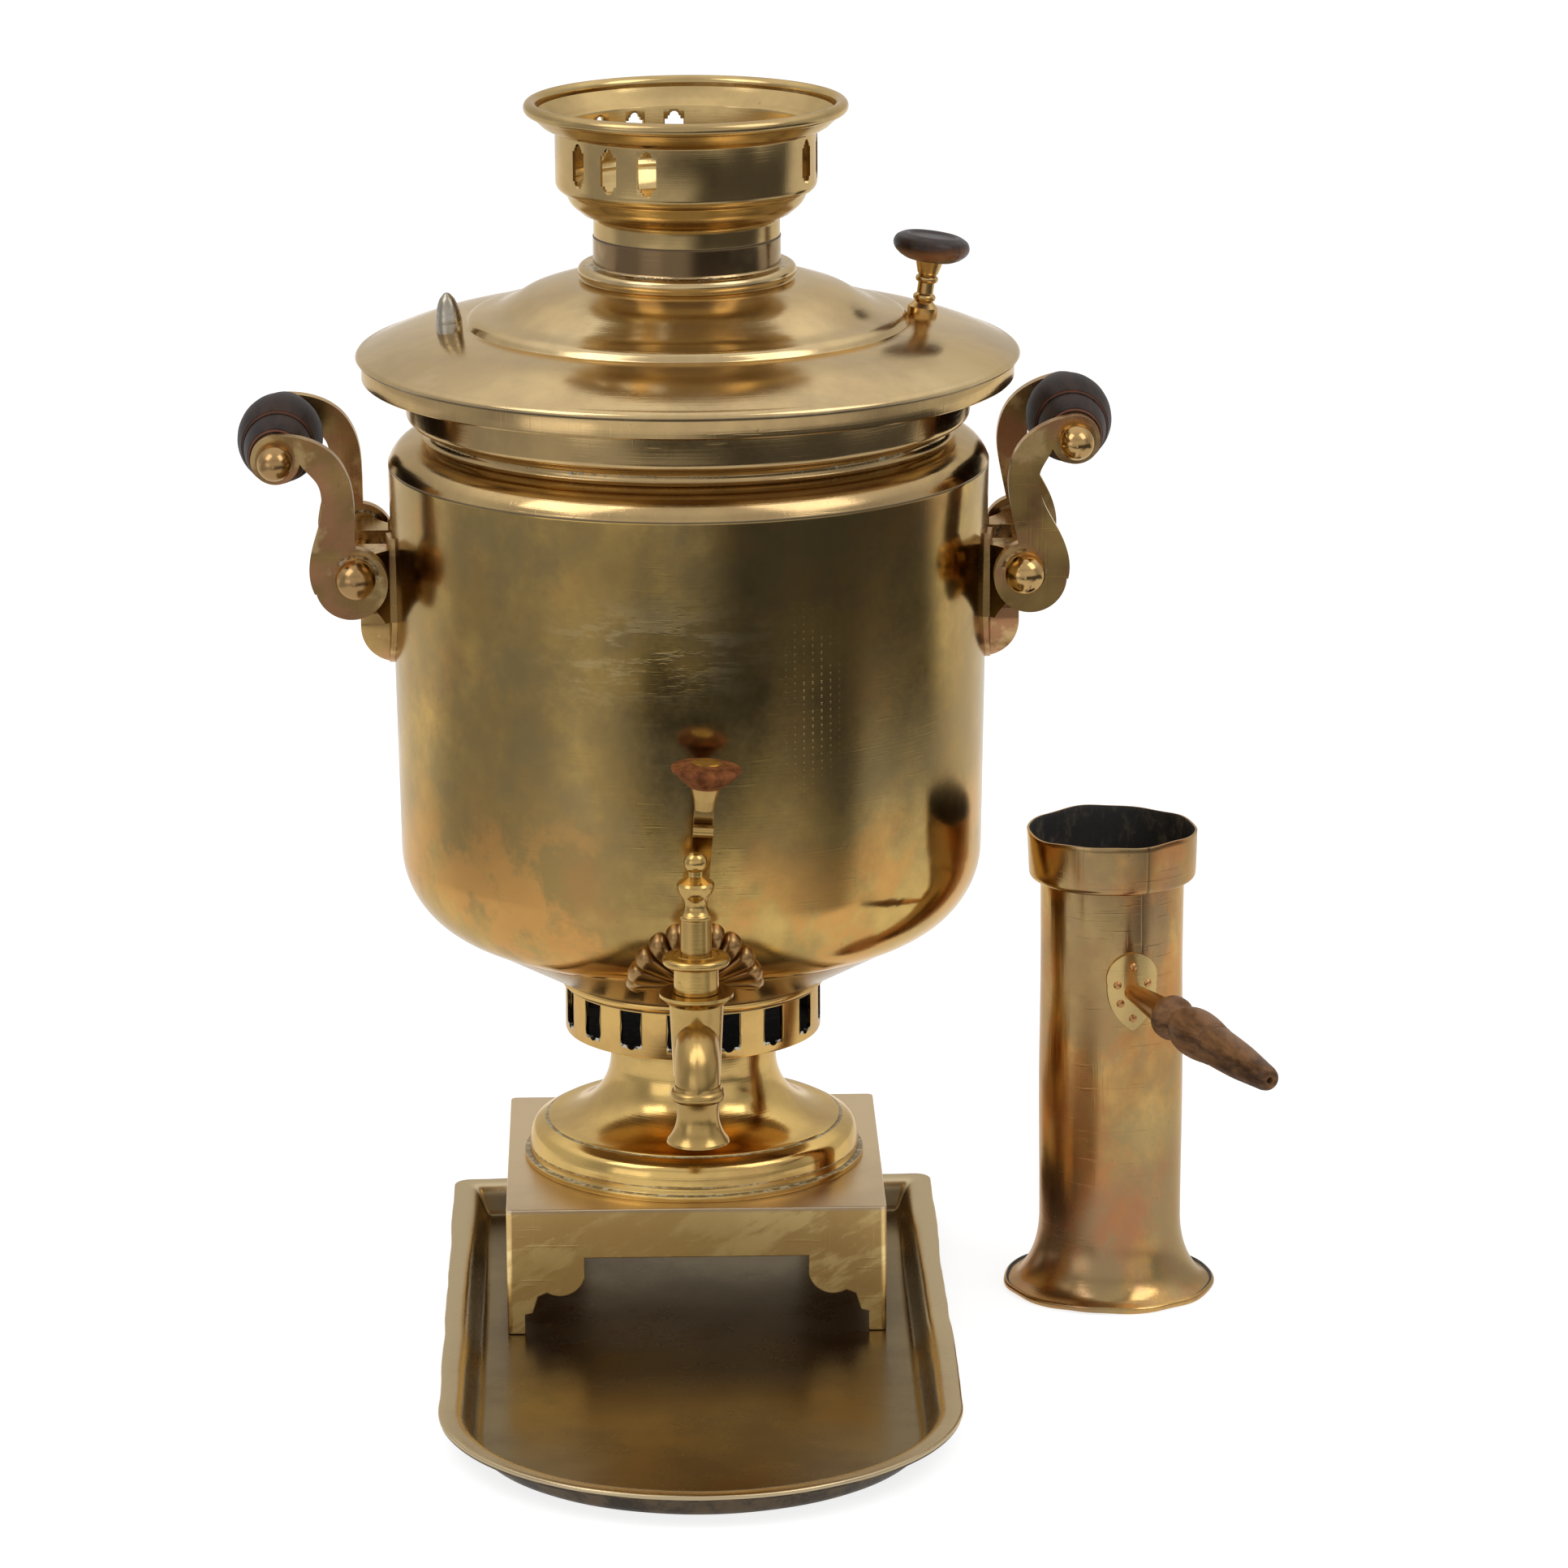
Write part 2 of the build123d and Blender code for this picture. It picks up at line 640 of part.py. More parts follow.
# ================================================================ crown
with BuildPart() as crown:
    with BuildSketch(Plane.XZ):
        with BuildLine():
            sleeve = Line((crown_sleeve_radius, neck_end), (crown_sleeve_radius, neck_end + crown_sleeve_height - 2))
            cove = TangentArc(sleeve @ 1, (crown_sleeve_radius + 3, neck_end + crown_sleeve_height + 1),
                              tangent=(0, 1))
            bowl_low = (crown_sleeve_radius + 6.5, neck_end + crown_sleeve_height + 3.2)
            ring = (crown_ring_radius, neck_end + crown_ring_rise)
            bowl_side = ThreePointArc(bowl_low, (crown_ring_radius - 1.5, ring[1] - 3.4), ring)
            Line(cove @ 1, bowl_low)
            step = (crown_ring_radius + 0.9, neck_end + crown_ring_rise + 1)
            turn_in = ThreePointArc(step, (band_radius - 0.9, neck_end + band_low_rise - 3.4),
                                    (band_radius, neck_end + band_low_rise))
            Line(ring, step)
            flange = Polyline(turn_in @ 1, (band_radius, neck_end + band_top_rise),
                              (band_radius + 3.4, neck_end + band_top_rise + 1),
                              (crown_outer_radius - crown_bead - 0.8, neck_end + crown_height - crown_bead - 2.4))
            offset(amount=crown_sheet, side=Side.LEFT)
        make_face()
        with Locations((crown_outer_radius - crown_bead, neck_end + crown_height - crown_bead)):
            Circle(crown_bead)
        with Locations((crown_sleeve_radius - crown_sheet - 1.0, neck_end - crown_spigot_depth)):
            Rectangle(1.1, crown_spigot_depth + 3, align=Align.MIN)
    revolve(axis=Axis.Z)
    for group in range(crown_groups):
        for slot in range(crown_slots):
            turn = (crown_group_turn + group * 360 / crown_groups
                    + (slot - (crown_slots - 1) / 2) * crown_slot_pitch)
            with BuildSketch(facing(turn, neck_end + crown_slot_rise)):
                Rectangle(crown_slot_width, crown_slot_height)
                Rectangle(crown_slot_width - 2 * crown_step, crown_slot_height + 2 * crown_step)
                with Locations((0, crown_slot_height / 2 + crown_step), (0, -crown_slot_height / 2 - crown_step)):
                    Circle(crown_lobe)
            extrude(amount=crown_outer_radius, mode=Mode.SUBTRACT)
keep("crown", crown)

# ================================================================ tap
tap_axis = Axis((0, -tap_reach, 0), (0, 0, 1))
tap_plane = Plane(origin=(0, -tap_reach, shank_level), x_dir=(1, 0, 0), z_dir=(0, -1, 0))
water_level = shank_level - spout_start_drop
spout_level = water_level - spout_bend
with BuildPart() as tap_body:
    with BuildSketch(tap_plane):
        with BuildLine():
            neck_foot = barrel_top_rise - barrel_flange - 2.4
            barrel = Polyline((0, -barrel_low_drop), (barrel_low_radius - 1, -barrel_low_drop),
                              (barrel_low_radius, 1 - barrel_low_drop), (barrel_top_radius, neck_foot),
                              (barrel_top_radius + 0.8, neck_foot + 0.4))
            ThreePointArc(barrel @ 1, (barrel_top_radius + 1.6, neck_foot + 1.4),
                          (barrel_flange_radius, barrel_top_rise - barrel_flange * 0.6))
            Polyline((barrel_flange_radius, barrel_top_rise - barrel_flange * 0.6),
                     (barrel_flange_radius, barrel_top_rise), (0, barrel_top_rise), (0, -barrel_low_drop))
        make_face()
    revolve(axis=tap_axis)
    with Locations(Location((0, -tap_reach, shank_level), (-90, 0, 0))):
        Cylinder(shank_radius, tap_reach - tube_foot_radius - shank_end_gap,
                 align=(Align.CENTER, Align.CENTER, Align.MIN))
    with BuildLine(Plane.YZ) as spout_path:
        first = Line((-tap_reach, water_level), (-tap_reach - spout_reach + spout_bend, water_level))
        TangentArc(first @ 1, (-tap_reach - spout_reach, spout_level), tangent=(-1, 0))
    spout_wire = spout_path.wire()
    with BuildSketch(Plane(origin=(0, -tap_reach, water_level), x_dir=(1, 0, 0), z_dir=(0, -1, 0))) as keel:
        with BuildLine():
            ThreePointArc((-spout_half, 0), (-spout_half * 0.66, spout_keel * 0.66), (0, spout_keel))
            ThreePointArc((0, spout_keel), (spout_half * 0.66, spout_keel * 0.66), (spout_half, 0))
            ThreePointArc((spout_half, 0), (0, -spout_half * 0.94), (-spout_half, 0))
        make_face()
    sweep(path=spout_wire)
    with BuildSketch(Plane(origin=(0, -tap_reach - spout_reach, shank_level), x_dir=(1, 0, 0), z_dir=(0, -1, 0))):
        with BuildLine():
            top = Polyline((0, 3.6 - spout_bead_drop), (spout_half + 0.2, 3.6 - spout_bead_drop),
                           (spout_half + 0.7, 2.2 - spout_bead_drop))
            bead = ThreePointArc(top @ 1, (spout_bead_radius, -spout_bead_drop),
                                 (spout_half + 0.5, -2.4 - spout_bead_drop))
            waist_point = (spout_waist_radius, -(spout_bead_drop + spout_mouth_drop) / 2)
            mouth = ThreePointArc(bead @ 1, waist_point, (spout_mouth_radius - 0.3, 1 - spout_mouth_drop))
            Polyline(mouth @ 1, (spout_mouth_radius, -spout_mouth_drop), (0, -spout_mouth_drop),
                     (0, 3.6 - spout_bead_drop))
        make_face()
    revolve(axis=Axis((0, -tap_reach - spout_reach, 0), (0, 0, 1)))
    with Locations(Location((0, -tap_reach, water_level), (-90, 0, 0))):
        Cylinder(water_radius, tap_reach, align=(Align.CENTER, Align.CENTER, Align.MIN), mode=Mode.SUBTRACT)
    with BuildSketch(Plane(origin=(0, -tap_reach, water_level), x_dir=(1, 0, 0), z_dir=(0, -1, 0))):
        Circle(water_radius)
    sweep(path=spout_wire, mode=Mode.SUBTRACT)
    with BuildSketch(Plane(origin=(0, -tap_reach - spout_reach, shank_level), x_dir=(1, 0, 0), z_dir=(0, -1, 0))):
        with BuildLine():
            throat_top = spout_level - shank_level + 1.5
            throat_radius = water_radius + 0.4
            throat = Polyline((0, throat_top), (throat_radius, throat_top), (throat_radius, -spout_bead_drop - 5))
            flare = Spline(throat @ 1, (spout_mouth_bore - 2.6, -spout_bead_drop - 10),
                           (spout_mouth_bore, -spout_mouth_drop))
            Polyline(flare @ 1, (0, -spout_mouth_drop), (0, throat_top))
        make_face()
    revolve(axis=Axis((0, -tap_reach - spout_reach, 0), (0, 0, 1)), mode=Mode.SUBTRACT)
    with BuildSketch(tap_plane):
        Polygon((0, -barrel_low_drop), (plug_low_radius + turn_gap, -barrel_low_drop),
                (plug_top_radius + turn_gap, barrel_top_rise), (0, barrel_top_rise), align=None)
    revolve(axis=tap_axis, mode=Mode.SUBTRACT)
keep("tap_body", tap_body)

with BuildPart() as tap_plug:
    with BuildSketch(Plane(origin=(0, -tap_reach, collar_top), x_dir=(1, 0, 0), z_dir=(0, -1, 0))):
        with BuildLine():
            drop = collar_top - barrel_top
            taper = (plug_top_radius - plug_low_radius) / (barrel_top_rise + barrel_low_drop)
            plug_bottom = -drop - barrel_top_rise - barrel_low_drop
            neck = Polyline((0, plug_bottom - plug_end), (plug_low_radius - 1.2, plug_bottom - plug_end),
                            (plug_low_radius - taper, plug_bottom - 1), (plug_top_radius, -drop),
                            (plug_top_radius, -drop + move_gap), (plug_neck_radius, -drop + move_gap),
                            (plug_neck_radius, -plug_collar), (plug_collar_radius - 2.4, -plug_collar))
            side = ThreePointArc(neck @ 1, (plug_collar_radius, -plug_collar * 0.62),
                                 (plug_collar_radius - 1.4, -0.5))
            stem = Polyline(side @ 1, (stem_pin_radius + 3.2, 0), (stem_pin_radius + 2.6, -0.4),
                            (stem_pin_radius + 2, 0), (stem_pin_radius, 0),
                            (stem_pin_radius, stem_pin_height - 1.8))
            ring = ThreePointArc(stem @ 1, (finial_ring_radius, stem_pin_height - 0.8),
                                 (stem_pin_radius - 0.2, stem_pin_height + 0.3))
            waist = ThreePointArc(ring @ 1, (finial_waist_radius, stem_pin_height + 4),
                                  (finial_waist_radius + 1.2, stem_pin_height + 7.2))
            cup = Spline(waist @ 1, (finial_cap_radius - 0.5, stem_pin_height + 9.4),
                                (finial_cap_radius, stem_pin_height + 12.2))
            cap = Polyline(cup @ 1, (finial_cap_radius - 0.6, stem_pin_height + 13.2),
                           (finial_cap_radius - 3, stem_pin_height + 14.6), (3, stem_pin_height + 15.6),
                           (3, stem_pin_height + 17.6))
            middle = stem_pin_height + 17.6 + sqrt(finial_ball**2 - 9)
            ThreePointArc(cap @ 1, (finial_ball, middle), (0, middle + finial_ball))
            Line((0, middle + finial_ball), (0, plug_bottom - plug_end))
        make_face()
    revolve(axis=tap_axis)
    with Locations(Location((0, -tap_reach, water_level), (0, 90, 0))):
        Cylinder(water_radius, 4 * plug_top_radius, mode=Mode.SUBTRACT)
keep("tap_plug", tap_plug)

# ================================================================ tap lever, ferrule and knob
tilt = radians(lever_lean)
lever_plane = Plane(origin=(0, -tap_reach, collar_top), x_dir=(0, 1, 0), z_dir=(cos(tilt), 0, -sin(tilt)))
lever_origin = Vector(0, lever_head - tap_reach, collar_top)
lever_axis = Axis(lever_origin, (sin(tilt), 0, cos(tilt)))
with BuildPart() as tap_lever:
    with BuildSketch(lever_plane):
        with BuildLine():
            root = TangentArc((3, 1), (lever_belly + lever_strap / 2, lever_height * 0.3), tangent=(1, 0.05))
            back = TangentArc(root @ 1, (lever_head + 3.6, lever_height * 0.78), tangent=root % 1)
            TangentArc(back @ 1, (lever_head + lever_strap / 2, lever_height - 0.2), tangent=back % 1)
            offset(amount=lever_strap, side=Side.LEFT)
        make_face()
        with BuildLine():
            tongue = TangentArc((lever_head + 3.4, lever_height * 0.73), (-0.6, lever_height * 0.86),
                                tangent=(-0.55, 1))
            offset(amount=lever_strap * 0.8, side=Side.LEFT)
        make_face()
        with Locations((-1.0, lever_height * 0.87)):
            Circle(lever_curl)
    extrude(amount=lever_width / 2, both=True)
    with Locations(Location((0, -tap_reach, collar_top + set_gap))):
        Cylinder(stem_pin_radius + set_gap, stem_pin_height, align=(Align.CENTER, Align.CENTER, Align.MIN),
                 mode=Mode.SUBTRACT)
keep("tap_lever", tap_lever)

with BuildPart() as lever_ferrule:
    with BuildSketch(lever_plane):
        low, high = lever_height, lever_height + ferrule_height
        Polygon((lever_head, low), (lever_head + ferrule_low_radius, low),
                (lever_head + ferrule_low_radius + 0.5, low + ferrule_height * 0.45),
                (lever_head + ferrule_top_radius, high), (lever_head, high), align=None)
    revolve(axis=lever_axis)
keep("lever_ferrule", lever_ferrule)

with BuildPart() as tap_knob:
    with BuildSketch(lever_plane):
        with BuildLine():
            low, high = lever_height + ferrule_height, lever_height + ferrule_height + tap_knob_height
            under = Line((lever_head, low), (lever_head + ferrule_top_radius + 0.3, low))
            cone = Polyline(under @ 1, (lever_head + tap_knob_radius - 4.4, low + 2.6),
                            (lever_head + tap_knob_radius - 0.7, low + 6.2))
            edge = ThreePointArc(cone @ 1, (lever_head + tap_knob_radius, low + 7.5),
                                 (lever_head + tap_knob_radius - 0.9, low + 8.7))
            Polyline(edge @ 1, (lever_head + inlay_radius + set_gap, high),
                     (lever_head + inlay_radius + set_gap, high - inlay_depth),
                     (lever_head, high - inlay_depth), (lever_head, low))
        make_face()
    revolve(axis=lever_axis)
keep("tap_knob", tap_knob)

with BuildPart() as knob_inlay:
    with BuildSketch(lever_plane):
        high = lever_height + ferrule_height + tap_knob_height
        Polygon((lever_head, high - inlay_depth), (lever_head + inlay_radius, high - inlay_depth),
                (lever_head + inlay_radius, high), (lever_head + inlay_radius - 0.8, high + 0.4),
                (lever_head + inlay_radius - 2, high), (lever_head, high + 0.2), align=None)
    revolve(axis=lever_axis)
keep("knob_inlay", knob_inlay)


# ================================================================ shell behind the tap
def on_wall(x, level):
    """Point on the front of the body's outer surface."""
    return Vector(x, -sqrt(wall_radius(level) ** 2 - x**2), level)


with BuildPart() as tap_shell:
    for lobe in range(shell_lobes):
        angle = radians(shell_fan * (lobe / (shell_lobes - 1) - 0.5))
        spine = []
        for share in (0.16, 0.6, 1.0):
            spine.append(on_wall(share * shell_half_width * sin(angle),
                                 shank_level + shell_root_rise + share * shell_height * cos(angle)))
        sizes = (shell_root, shell_root + (shell_tip - shell_root) * 0.62, shell_tip)
        for near, far, near_size, far_size in zip(spine, spine[1:], sizes, sizes[1:]):
            with Locations(Plane(origin=near, z_dir=far - near).location):
                Cone(near_size, far_size, (far - near).length, align=(Align.CENTER, Align.CENTER, Align.MIN))
            with Locations(Location(far)):
                Sphere(far_size)
    add(body_core.part, mode=Mode.SUBTRACT)
    with Locations(Location((0, -tap_reach, shank_level), (-90, 0, 0))):
        Cylinder(shank_radius + set_gap, tap_reach, align=(Align.CENTER, Align.CENTER, Align.MIN),
                 mode=Mode.SUBTRACT)
keep("tap_shell", tap_shell)


# ================================================================ handle brackets
def upright(side, y):
    """Plane across the samovar at y, its X outward from the pivots, its Y upward."""
    return Plane(origin=(side * pivot_reach, y, pivot_level), x_dir=(side, 0, 0), z_dir=(0, -side, 0))


for side, word in ((-1, "left"), (1, "right")):
    shield_plane = Plane(origin=(0, 0, pivot_level), x_dir=(0, side, 0), z_dir=(side, 0, 0))
    with BuildPart() as drop:
        with BuildSketch(upright(side, 0)):
            with BuildLine():
                out = drop_depth - (pivot_reach - wall_radius(pivot_level - drop_top))
                tip = (wall_radius(wall_low) - pivot_reach, -shield_tip)
                Polyline((out, -drop_top - 1.5), (out, -drop_top + 4), (-lug_root, -drop_top + 4),
                         (-lug_root, -shield_tip), tip)
                ThreePointArc(tip, (out - 4.4, -shield_tip * 0.86), (out, -drop_top - 1.5))
            make_face()
        extrude(amount=shield_half_width, both=True)
        with BuildSketch(shield_plane):
            with BuildLine():
                half = shield_half_width * 0.6
                Polyline((-half, -drop_top), (-half, -drop_top + 4), (half, -drop_top + 4), (half, -drop_top))
                ThreePointArc((half, -drop_top), (half * 0.72, -shield_tip * 0.83), (0, -shield_tip))
                ThreePointArc((-half, -drop_top), (-half * 0.72, -shield_tip * 0.83), (0, -shield_tip))
            make_face()
        extrude(amount=2 * pivot_reach, mode=Mode.INTERSECT)

    with BuildPart() as bracket:
        with BuildSketch(shield_plane):
            with BuildLine():
                top = Line((-shield_half_width, shield_top), (shield_half_width, shield_top))
                for hand in (-1, 1):
                    flank = Line((hand * shield_half_width, shield_top), (hand * shield_half_width, -lug_depth * 0.7))
                    ThreePointArc(flank @ 1, (hand * shield_half_width * 0.74, -shield_tip * 0.76),
                                  (0, -shield_tip))
            make_face()
        extrude(amount=pivot_reach)
        with BuildSketch(Plane.XZ):
            with BuildLine():
                low, high = pivot_level - shield_tip - 2, pivot_level + shield_top + 2
                Polyline((0, low), (wall_radius(low) + shield_sheet, low),
                         (wall_radius(high) + shield_sheet, high), (0, high), (0, low))
            make_face()
        revolve(axis=Axis.Z, mode=Mode.INTERSECT)
        with BuildSketch(upright(side, 0)):
            with BuildLine():
                root = -lug_root
                shelf = Polyline((root, lug_nose), (0, lug_nose))
                nose = ThreePointArc(shelf @ 1, (lug_nose, 0), (lug_nose * 0.5, -lug_nose * 0.87))
                ThreePointArc(nose @ 1, (-lug_web / 2, -lug_depth * 0.62), (-lug_web, -lug_depth))
                Polyline((-lug_web, -lug_depth), (root, -lug_depth), (root, lug_nose))
            make_face()
        extrude(amount=lug_outside, both=True)
        with BuildSketch(Plane.XY.offset(pivot_level - lug_depth)):
            with Locations((side * (pivot_reach + lug_slot / 2 - lug_web), 0)):
                SlotCenterToCenter(lug_slot, 2 * (lug_outside - lug_width))
            for hand in (-1, 1):
                with BuildLine():
                    root = (side * (pivot_reach - pivot_stand_off), hand * shield_half_width)
                    heel = (side * (pivot_reach - lug_heel), hand * (lug_outside + set_gap))
                    ThreePointArc(root, ((root[0] + heel[0] + side * lug_hollow) / 2,
                                         (root[1] + heel[1] - hand * lug_hollow) / 2), heel)
                    Polyline(heel, (0, heel[1]), (0, root[1]), root)
                make_face()
        extrude(amount=2 * lug_depth, mode=Mode.SUBTRACT)
        add(drop.part)
        add(body_core.part, mode=Mode.SUBTRACT)
        with Locations(Location((side * pivot_reach, 0, pivot_level), (90, 0, 0))):
            Cylinder(pivot_radius + set_gap, 4 * lug_outside, mode=Mode.SUBTRACT)
    keep(f"handle_bracket_{word}", bracket)

# ================================================================ pivots, arms and grips
arm_middle = lug_outside + move_gap + arm_thickness / 2
arm_outside = arm_middle + arm_thickness / 2


def dome(origin, hand, radius, from_middle):
    """Half outline of a domed cap that faces outward on one end of a rod along Y."""
    with BuildSketch(Plane(origin=origin, x_dir=(0, hand, 0), z_dir=(-hand, 0, 0))) as outline:
        with BuildLine():
            middle = from_middle + ball_sink
            brim = sqrt(radius**2 - ball_sink**2)
            ThreePointArc((from_middle, brim), (middle, radius), (middle + radius, 0))
            Polyline((middle + radius, 0), (from_middle, 0), (from_middle, brim))
        make_face()
    return outline.sketch


for side, word, lean in ((-1, "left", left_lean), (1, "right", right_lean)):
    pivot = Vector(side * pivot_reach, 0, pivot_level)
    tilt = radians(lean)
    outward = Vector(side * cos(tilt), 0, -sin(tilt))
    upward = Vector(side * sin(tilt), 0, cos(tilt))
    eye = pivot + upward * arm_length

    with BuildPart() as pivot_rod:
        with Locations(Location(pivot, (90, 0, 0))):
            Cylinder(pivot_radius, 2 * (arm_outside + move_gap + 3))
    keep(f"pivot_rod_{word}", pivot_rod)

    with BuildPart() as pivot_balls:
        for hand in (-1, 1):
            revolve(dome(pivot, hand, lower_ball, arm_outside + move_gap), axis=Axis(pivot, (0, 1, 0)))
        with Locations(Location(pivot, (90, 0, 0))):
            Cylinder(pivot_radius + set_gap, 2 * (arm_outside + move_gap + 3) + 2 * set_gap, mode=Mode.SUBTRACT)
    keep(f"pivot_balls_{word}", pivot_balls)

    for hand, place in ((-1, "front"), (1, "rear")):
        with BuildPart() as arm:
            arm_origin = pivot + Vector(0, hand * arm_middle, 0)
            with BuildSketch(Plane(origin=arm_origin, x_dir=outward, z_dir=(0, -side, 0))):
                with BuildLine():
                    inner = Spline((-4, arm_length + 9.2), (-10.2, 62.8), (-17.4, 54.8), (-20.8, 46.5), (-21, 39),
                                   (-18.9, 31), (-14.6, 22.8), (-7.5, 11.5), (-4, 6))
                    outer = Spline((-7.4, arm_length - 6.7), (-8.4, 43.5), (-8.6, 40.6), (-6.6, 34.6), (-3.5, 30),
                                   (1.2, 25.4), (8.4, 19.3), (15, 11.4), (17.9, 3))
                    Polyline(inner @ 0, (0, arm_length), outer @ 0)
                    Line(inner @ 1, outer @ 1)
                make_face()
                with Locations((0, arm_length)):
                    Circle(arm_eye_radius)
                with Locations((arm_scroll_out, -arm_scroll_drop)):
                    Circle(arm_scroll_radius)
                Circle(pivot_radius + turn_gap, mode=Mode.SUBTRACT)
                with Locations((0, arm_length)):
                    Circle(rod_radius + set_gap, mode=Mode.SUBTRACT)
            extrude(amount=arm_thickness / 2, both=True)
        keep(f"arm_{place}_{word}", arm)

    with BuildPart() as grip_rod:
        with Locations(Location(eye, (90, 0, 0))):
            Cylinder(rod_radius, 2 * (arm_outside + washer_height + 3))
    keep(f"grip_rod_{word}", grip_rod)

    with BuildPart() as rod_balls:
        for hand in (-1, 1):
            with Locations(Location(eye + Vector(0, hand * (arm_outside + washer_height / 2), 0), (90, 0, 0))):
                Cylinder(washer_radius, washer_height)
            revolve(dome(eye, hand, upper_ball, arm_outside + washer_height), axis=Axis(eye, (0, 1, 0)))
        with Locations(Location(eye, (90, 0, 0))):
            Cylinder(rod_radius + set_gap, 2 * (arm_outside + washer_height + 3) + 2 * set_gap,
                     mode=Mode.SUBTRACT)
    keep(f"rod_balls_{word}", rod_balls)

    with BuildPart() as grip:
        with BuildSketch(Plane(origin=eye, x_dir=(0, 1, 0), z_dir=(1, 0, 0))) as half_profile:
            with BuildLine():
                end = lug_outside
                bore = rod_radius + turn_gap
                swell = Spline((0, grip_radius), (11, grip_radius - 0.9), (grip_ring_from_middle - 1.4, 15),
                               tangents=[(1, 0), (1, -0.5)])
                groove = Polyline(swell @ 1, (grip_ring_from_middle - 1, grip_ring_radius),
                                  (grip_ring_from_middle, grip_ring_radius + 0.5),
                                  (grip_ring_from_middle + 1, grip_ring_radius - grip_groove),
                                  (grip_ring_from_middle + 1.6, grip_ring_radius))
                tail = Spline(groove @ 1, (30, grip_end_radius + 1.4), (end - 1.4, grip_end_radius))
                Polyline(tail @ 1, (end, grip_end_radius - 1.2), (end, bore), (0, bore), (0, grip_radius))
            make_face()
            mirror(about=Plane.YZ)
        revolve(axis=Axis(eye, (0, 1, 0)))
    keep(f"grip_{word}", grip)

# ================================================================ chimney pipe
pipe_axis = Axis((pipe_x, pipe_y, 0), (0, 0, 1))
pipe_plane = Plane(origin=(pipe_x, pipe_y, 0), x_dir=(1, 0, 0), z_dir=(0, -1, 0))
hood_foot = pipe_height - hood_height
with BuildPart() as pipe_tube:
    with BuildSketch(pipe_plane):
        with BuildLine():
            flare = TangentArc((pipe_radius, flare_height), (flare_radius - flare_hem, flare_hem + 0.6),
                               tangent=(0, -1))
            Line((pipe_radius, hood_foot + hood_lap), flare @ 0)
            offset(amount=pipe_sheet, side=Side.RIGHT)
        make_face()
        with Locations((flare_radius - flare_hem, flare_hem)):
            Circle(flare_hem)
    revolve(axis=pipe_axis)
keep("pipe_tube", pipe_tube)

with BuildPart() as pipe_hood:
    with BuildSketch(pipe_plane):
        with BuildLine():
            collar = Polyline((pipe_radius + set_gap, hood_foot + hood_lap), (pipe_radius + set_gap, hood_foot),
                              (hood_low_radius - 2.4, hood_foot))
            roll = TangentArc(collar @ 1, (hood_low_radius, hood_foot + 2.4), tangent=(1, 0))
            Line(roll @ 1, (hood_radius, pipe_height))
            offset(amount=pipe_sheet, side=Side.LEFT)
        make_face()
    revolve(axis=pipe_axis)
keep("pipe_hood", pipe_hood)

# ================================================================ plate and rivets under the pipe's handle
turn = radians(leaf_turn)
leaf_plane = Plane(origin=(pipe_x, pipe_y, leaf_rise), x_dir=(-sin(turn), cos(turn), 0),
                   z_dir=(cos(turn), sin(turn), 0))
leaf_inside = pipe_radius + set_gap
with BuildPart() as handle_leaf:
    with BuildSketch(leaf_plane):
        with BuildLine():
            half = leaf_width / 2
            ThreePointArc((-half, leaf_height * 0.1), (0, leaf_height / 2), (half, leaf_height * 0.1))
            ThreePointArc((half, leaf_height * 0.1), (half * 0.74, -leaf_height * 0.26), (0, -leaf_height / 2))
            ThreePointArc((-half, leaf_height * 0.1), (-half * 0.74, -leaf_height * 0.26), (0, -leaf_height / 2))
        make_face()
    extrude(amount=2 * pipe_radius)
    with Locations(Location((pipe_x, pipe_y, leaf_rise))):
        Cylinder(leaf_inside + leaf_sheet, 2 * leaf_height, mode=Mode.INTERSECT)
        Cylinder(leaf_inside, 2 * leaf_height, mode=Mode.SUBTRACT)
keep("handle_leaf", handle_leaf)

with BuildPart() as leaf_rivets:
    for height, across in ((0.33, 0.0), (0.1, 0.3), (0.1, -0.3), (-0.14, 0.24), (-0.14, -0.24), (-0.34, 0.0)):
        angle = turn + across * leaf_width / pipe_radius
        spot = Vector(pipe_x, pipe_y, leaf_rise + height * leaf_height)
        ray = Vector(cos(angle), sin(angle), 0)
        with BuildSketch(Plane(origin=spot + ray * pipe_radius, z_dir=ray)):
            Circle(rivet_radius)
        extrude(amount=leaf_sheet + rivet_head, taper=12)
    with Locations(Location((pipe_x, pipe_y, leaf_rise))):
        Cylinder(leaf_inside + leaf_sheet, 2 * leaf_height, mode=Mode.SUBTRACT)
keep("leaf_rivets", leaf_rivets)

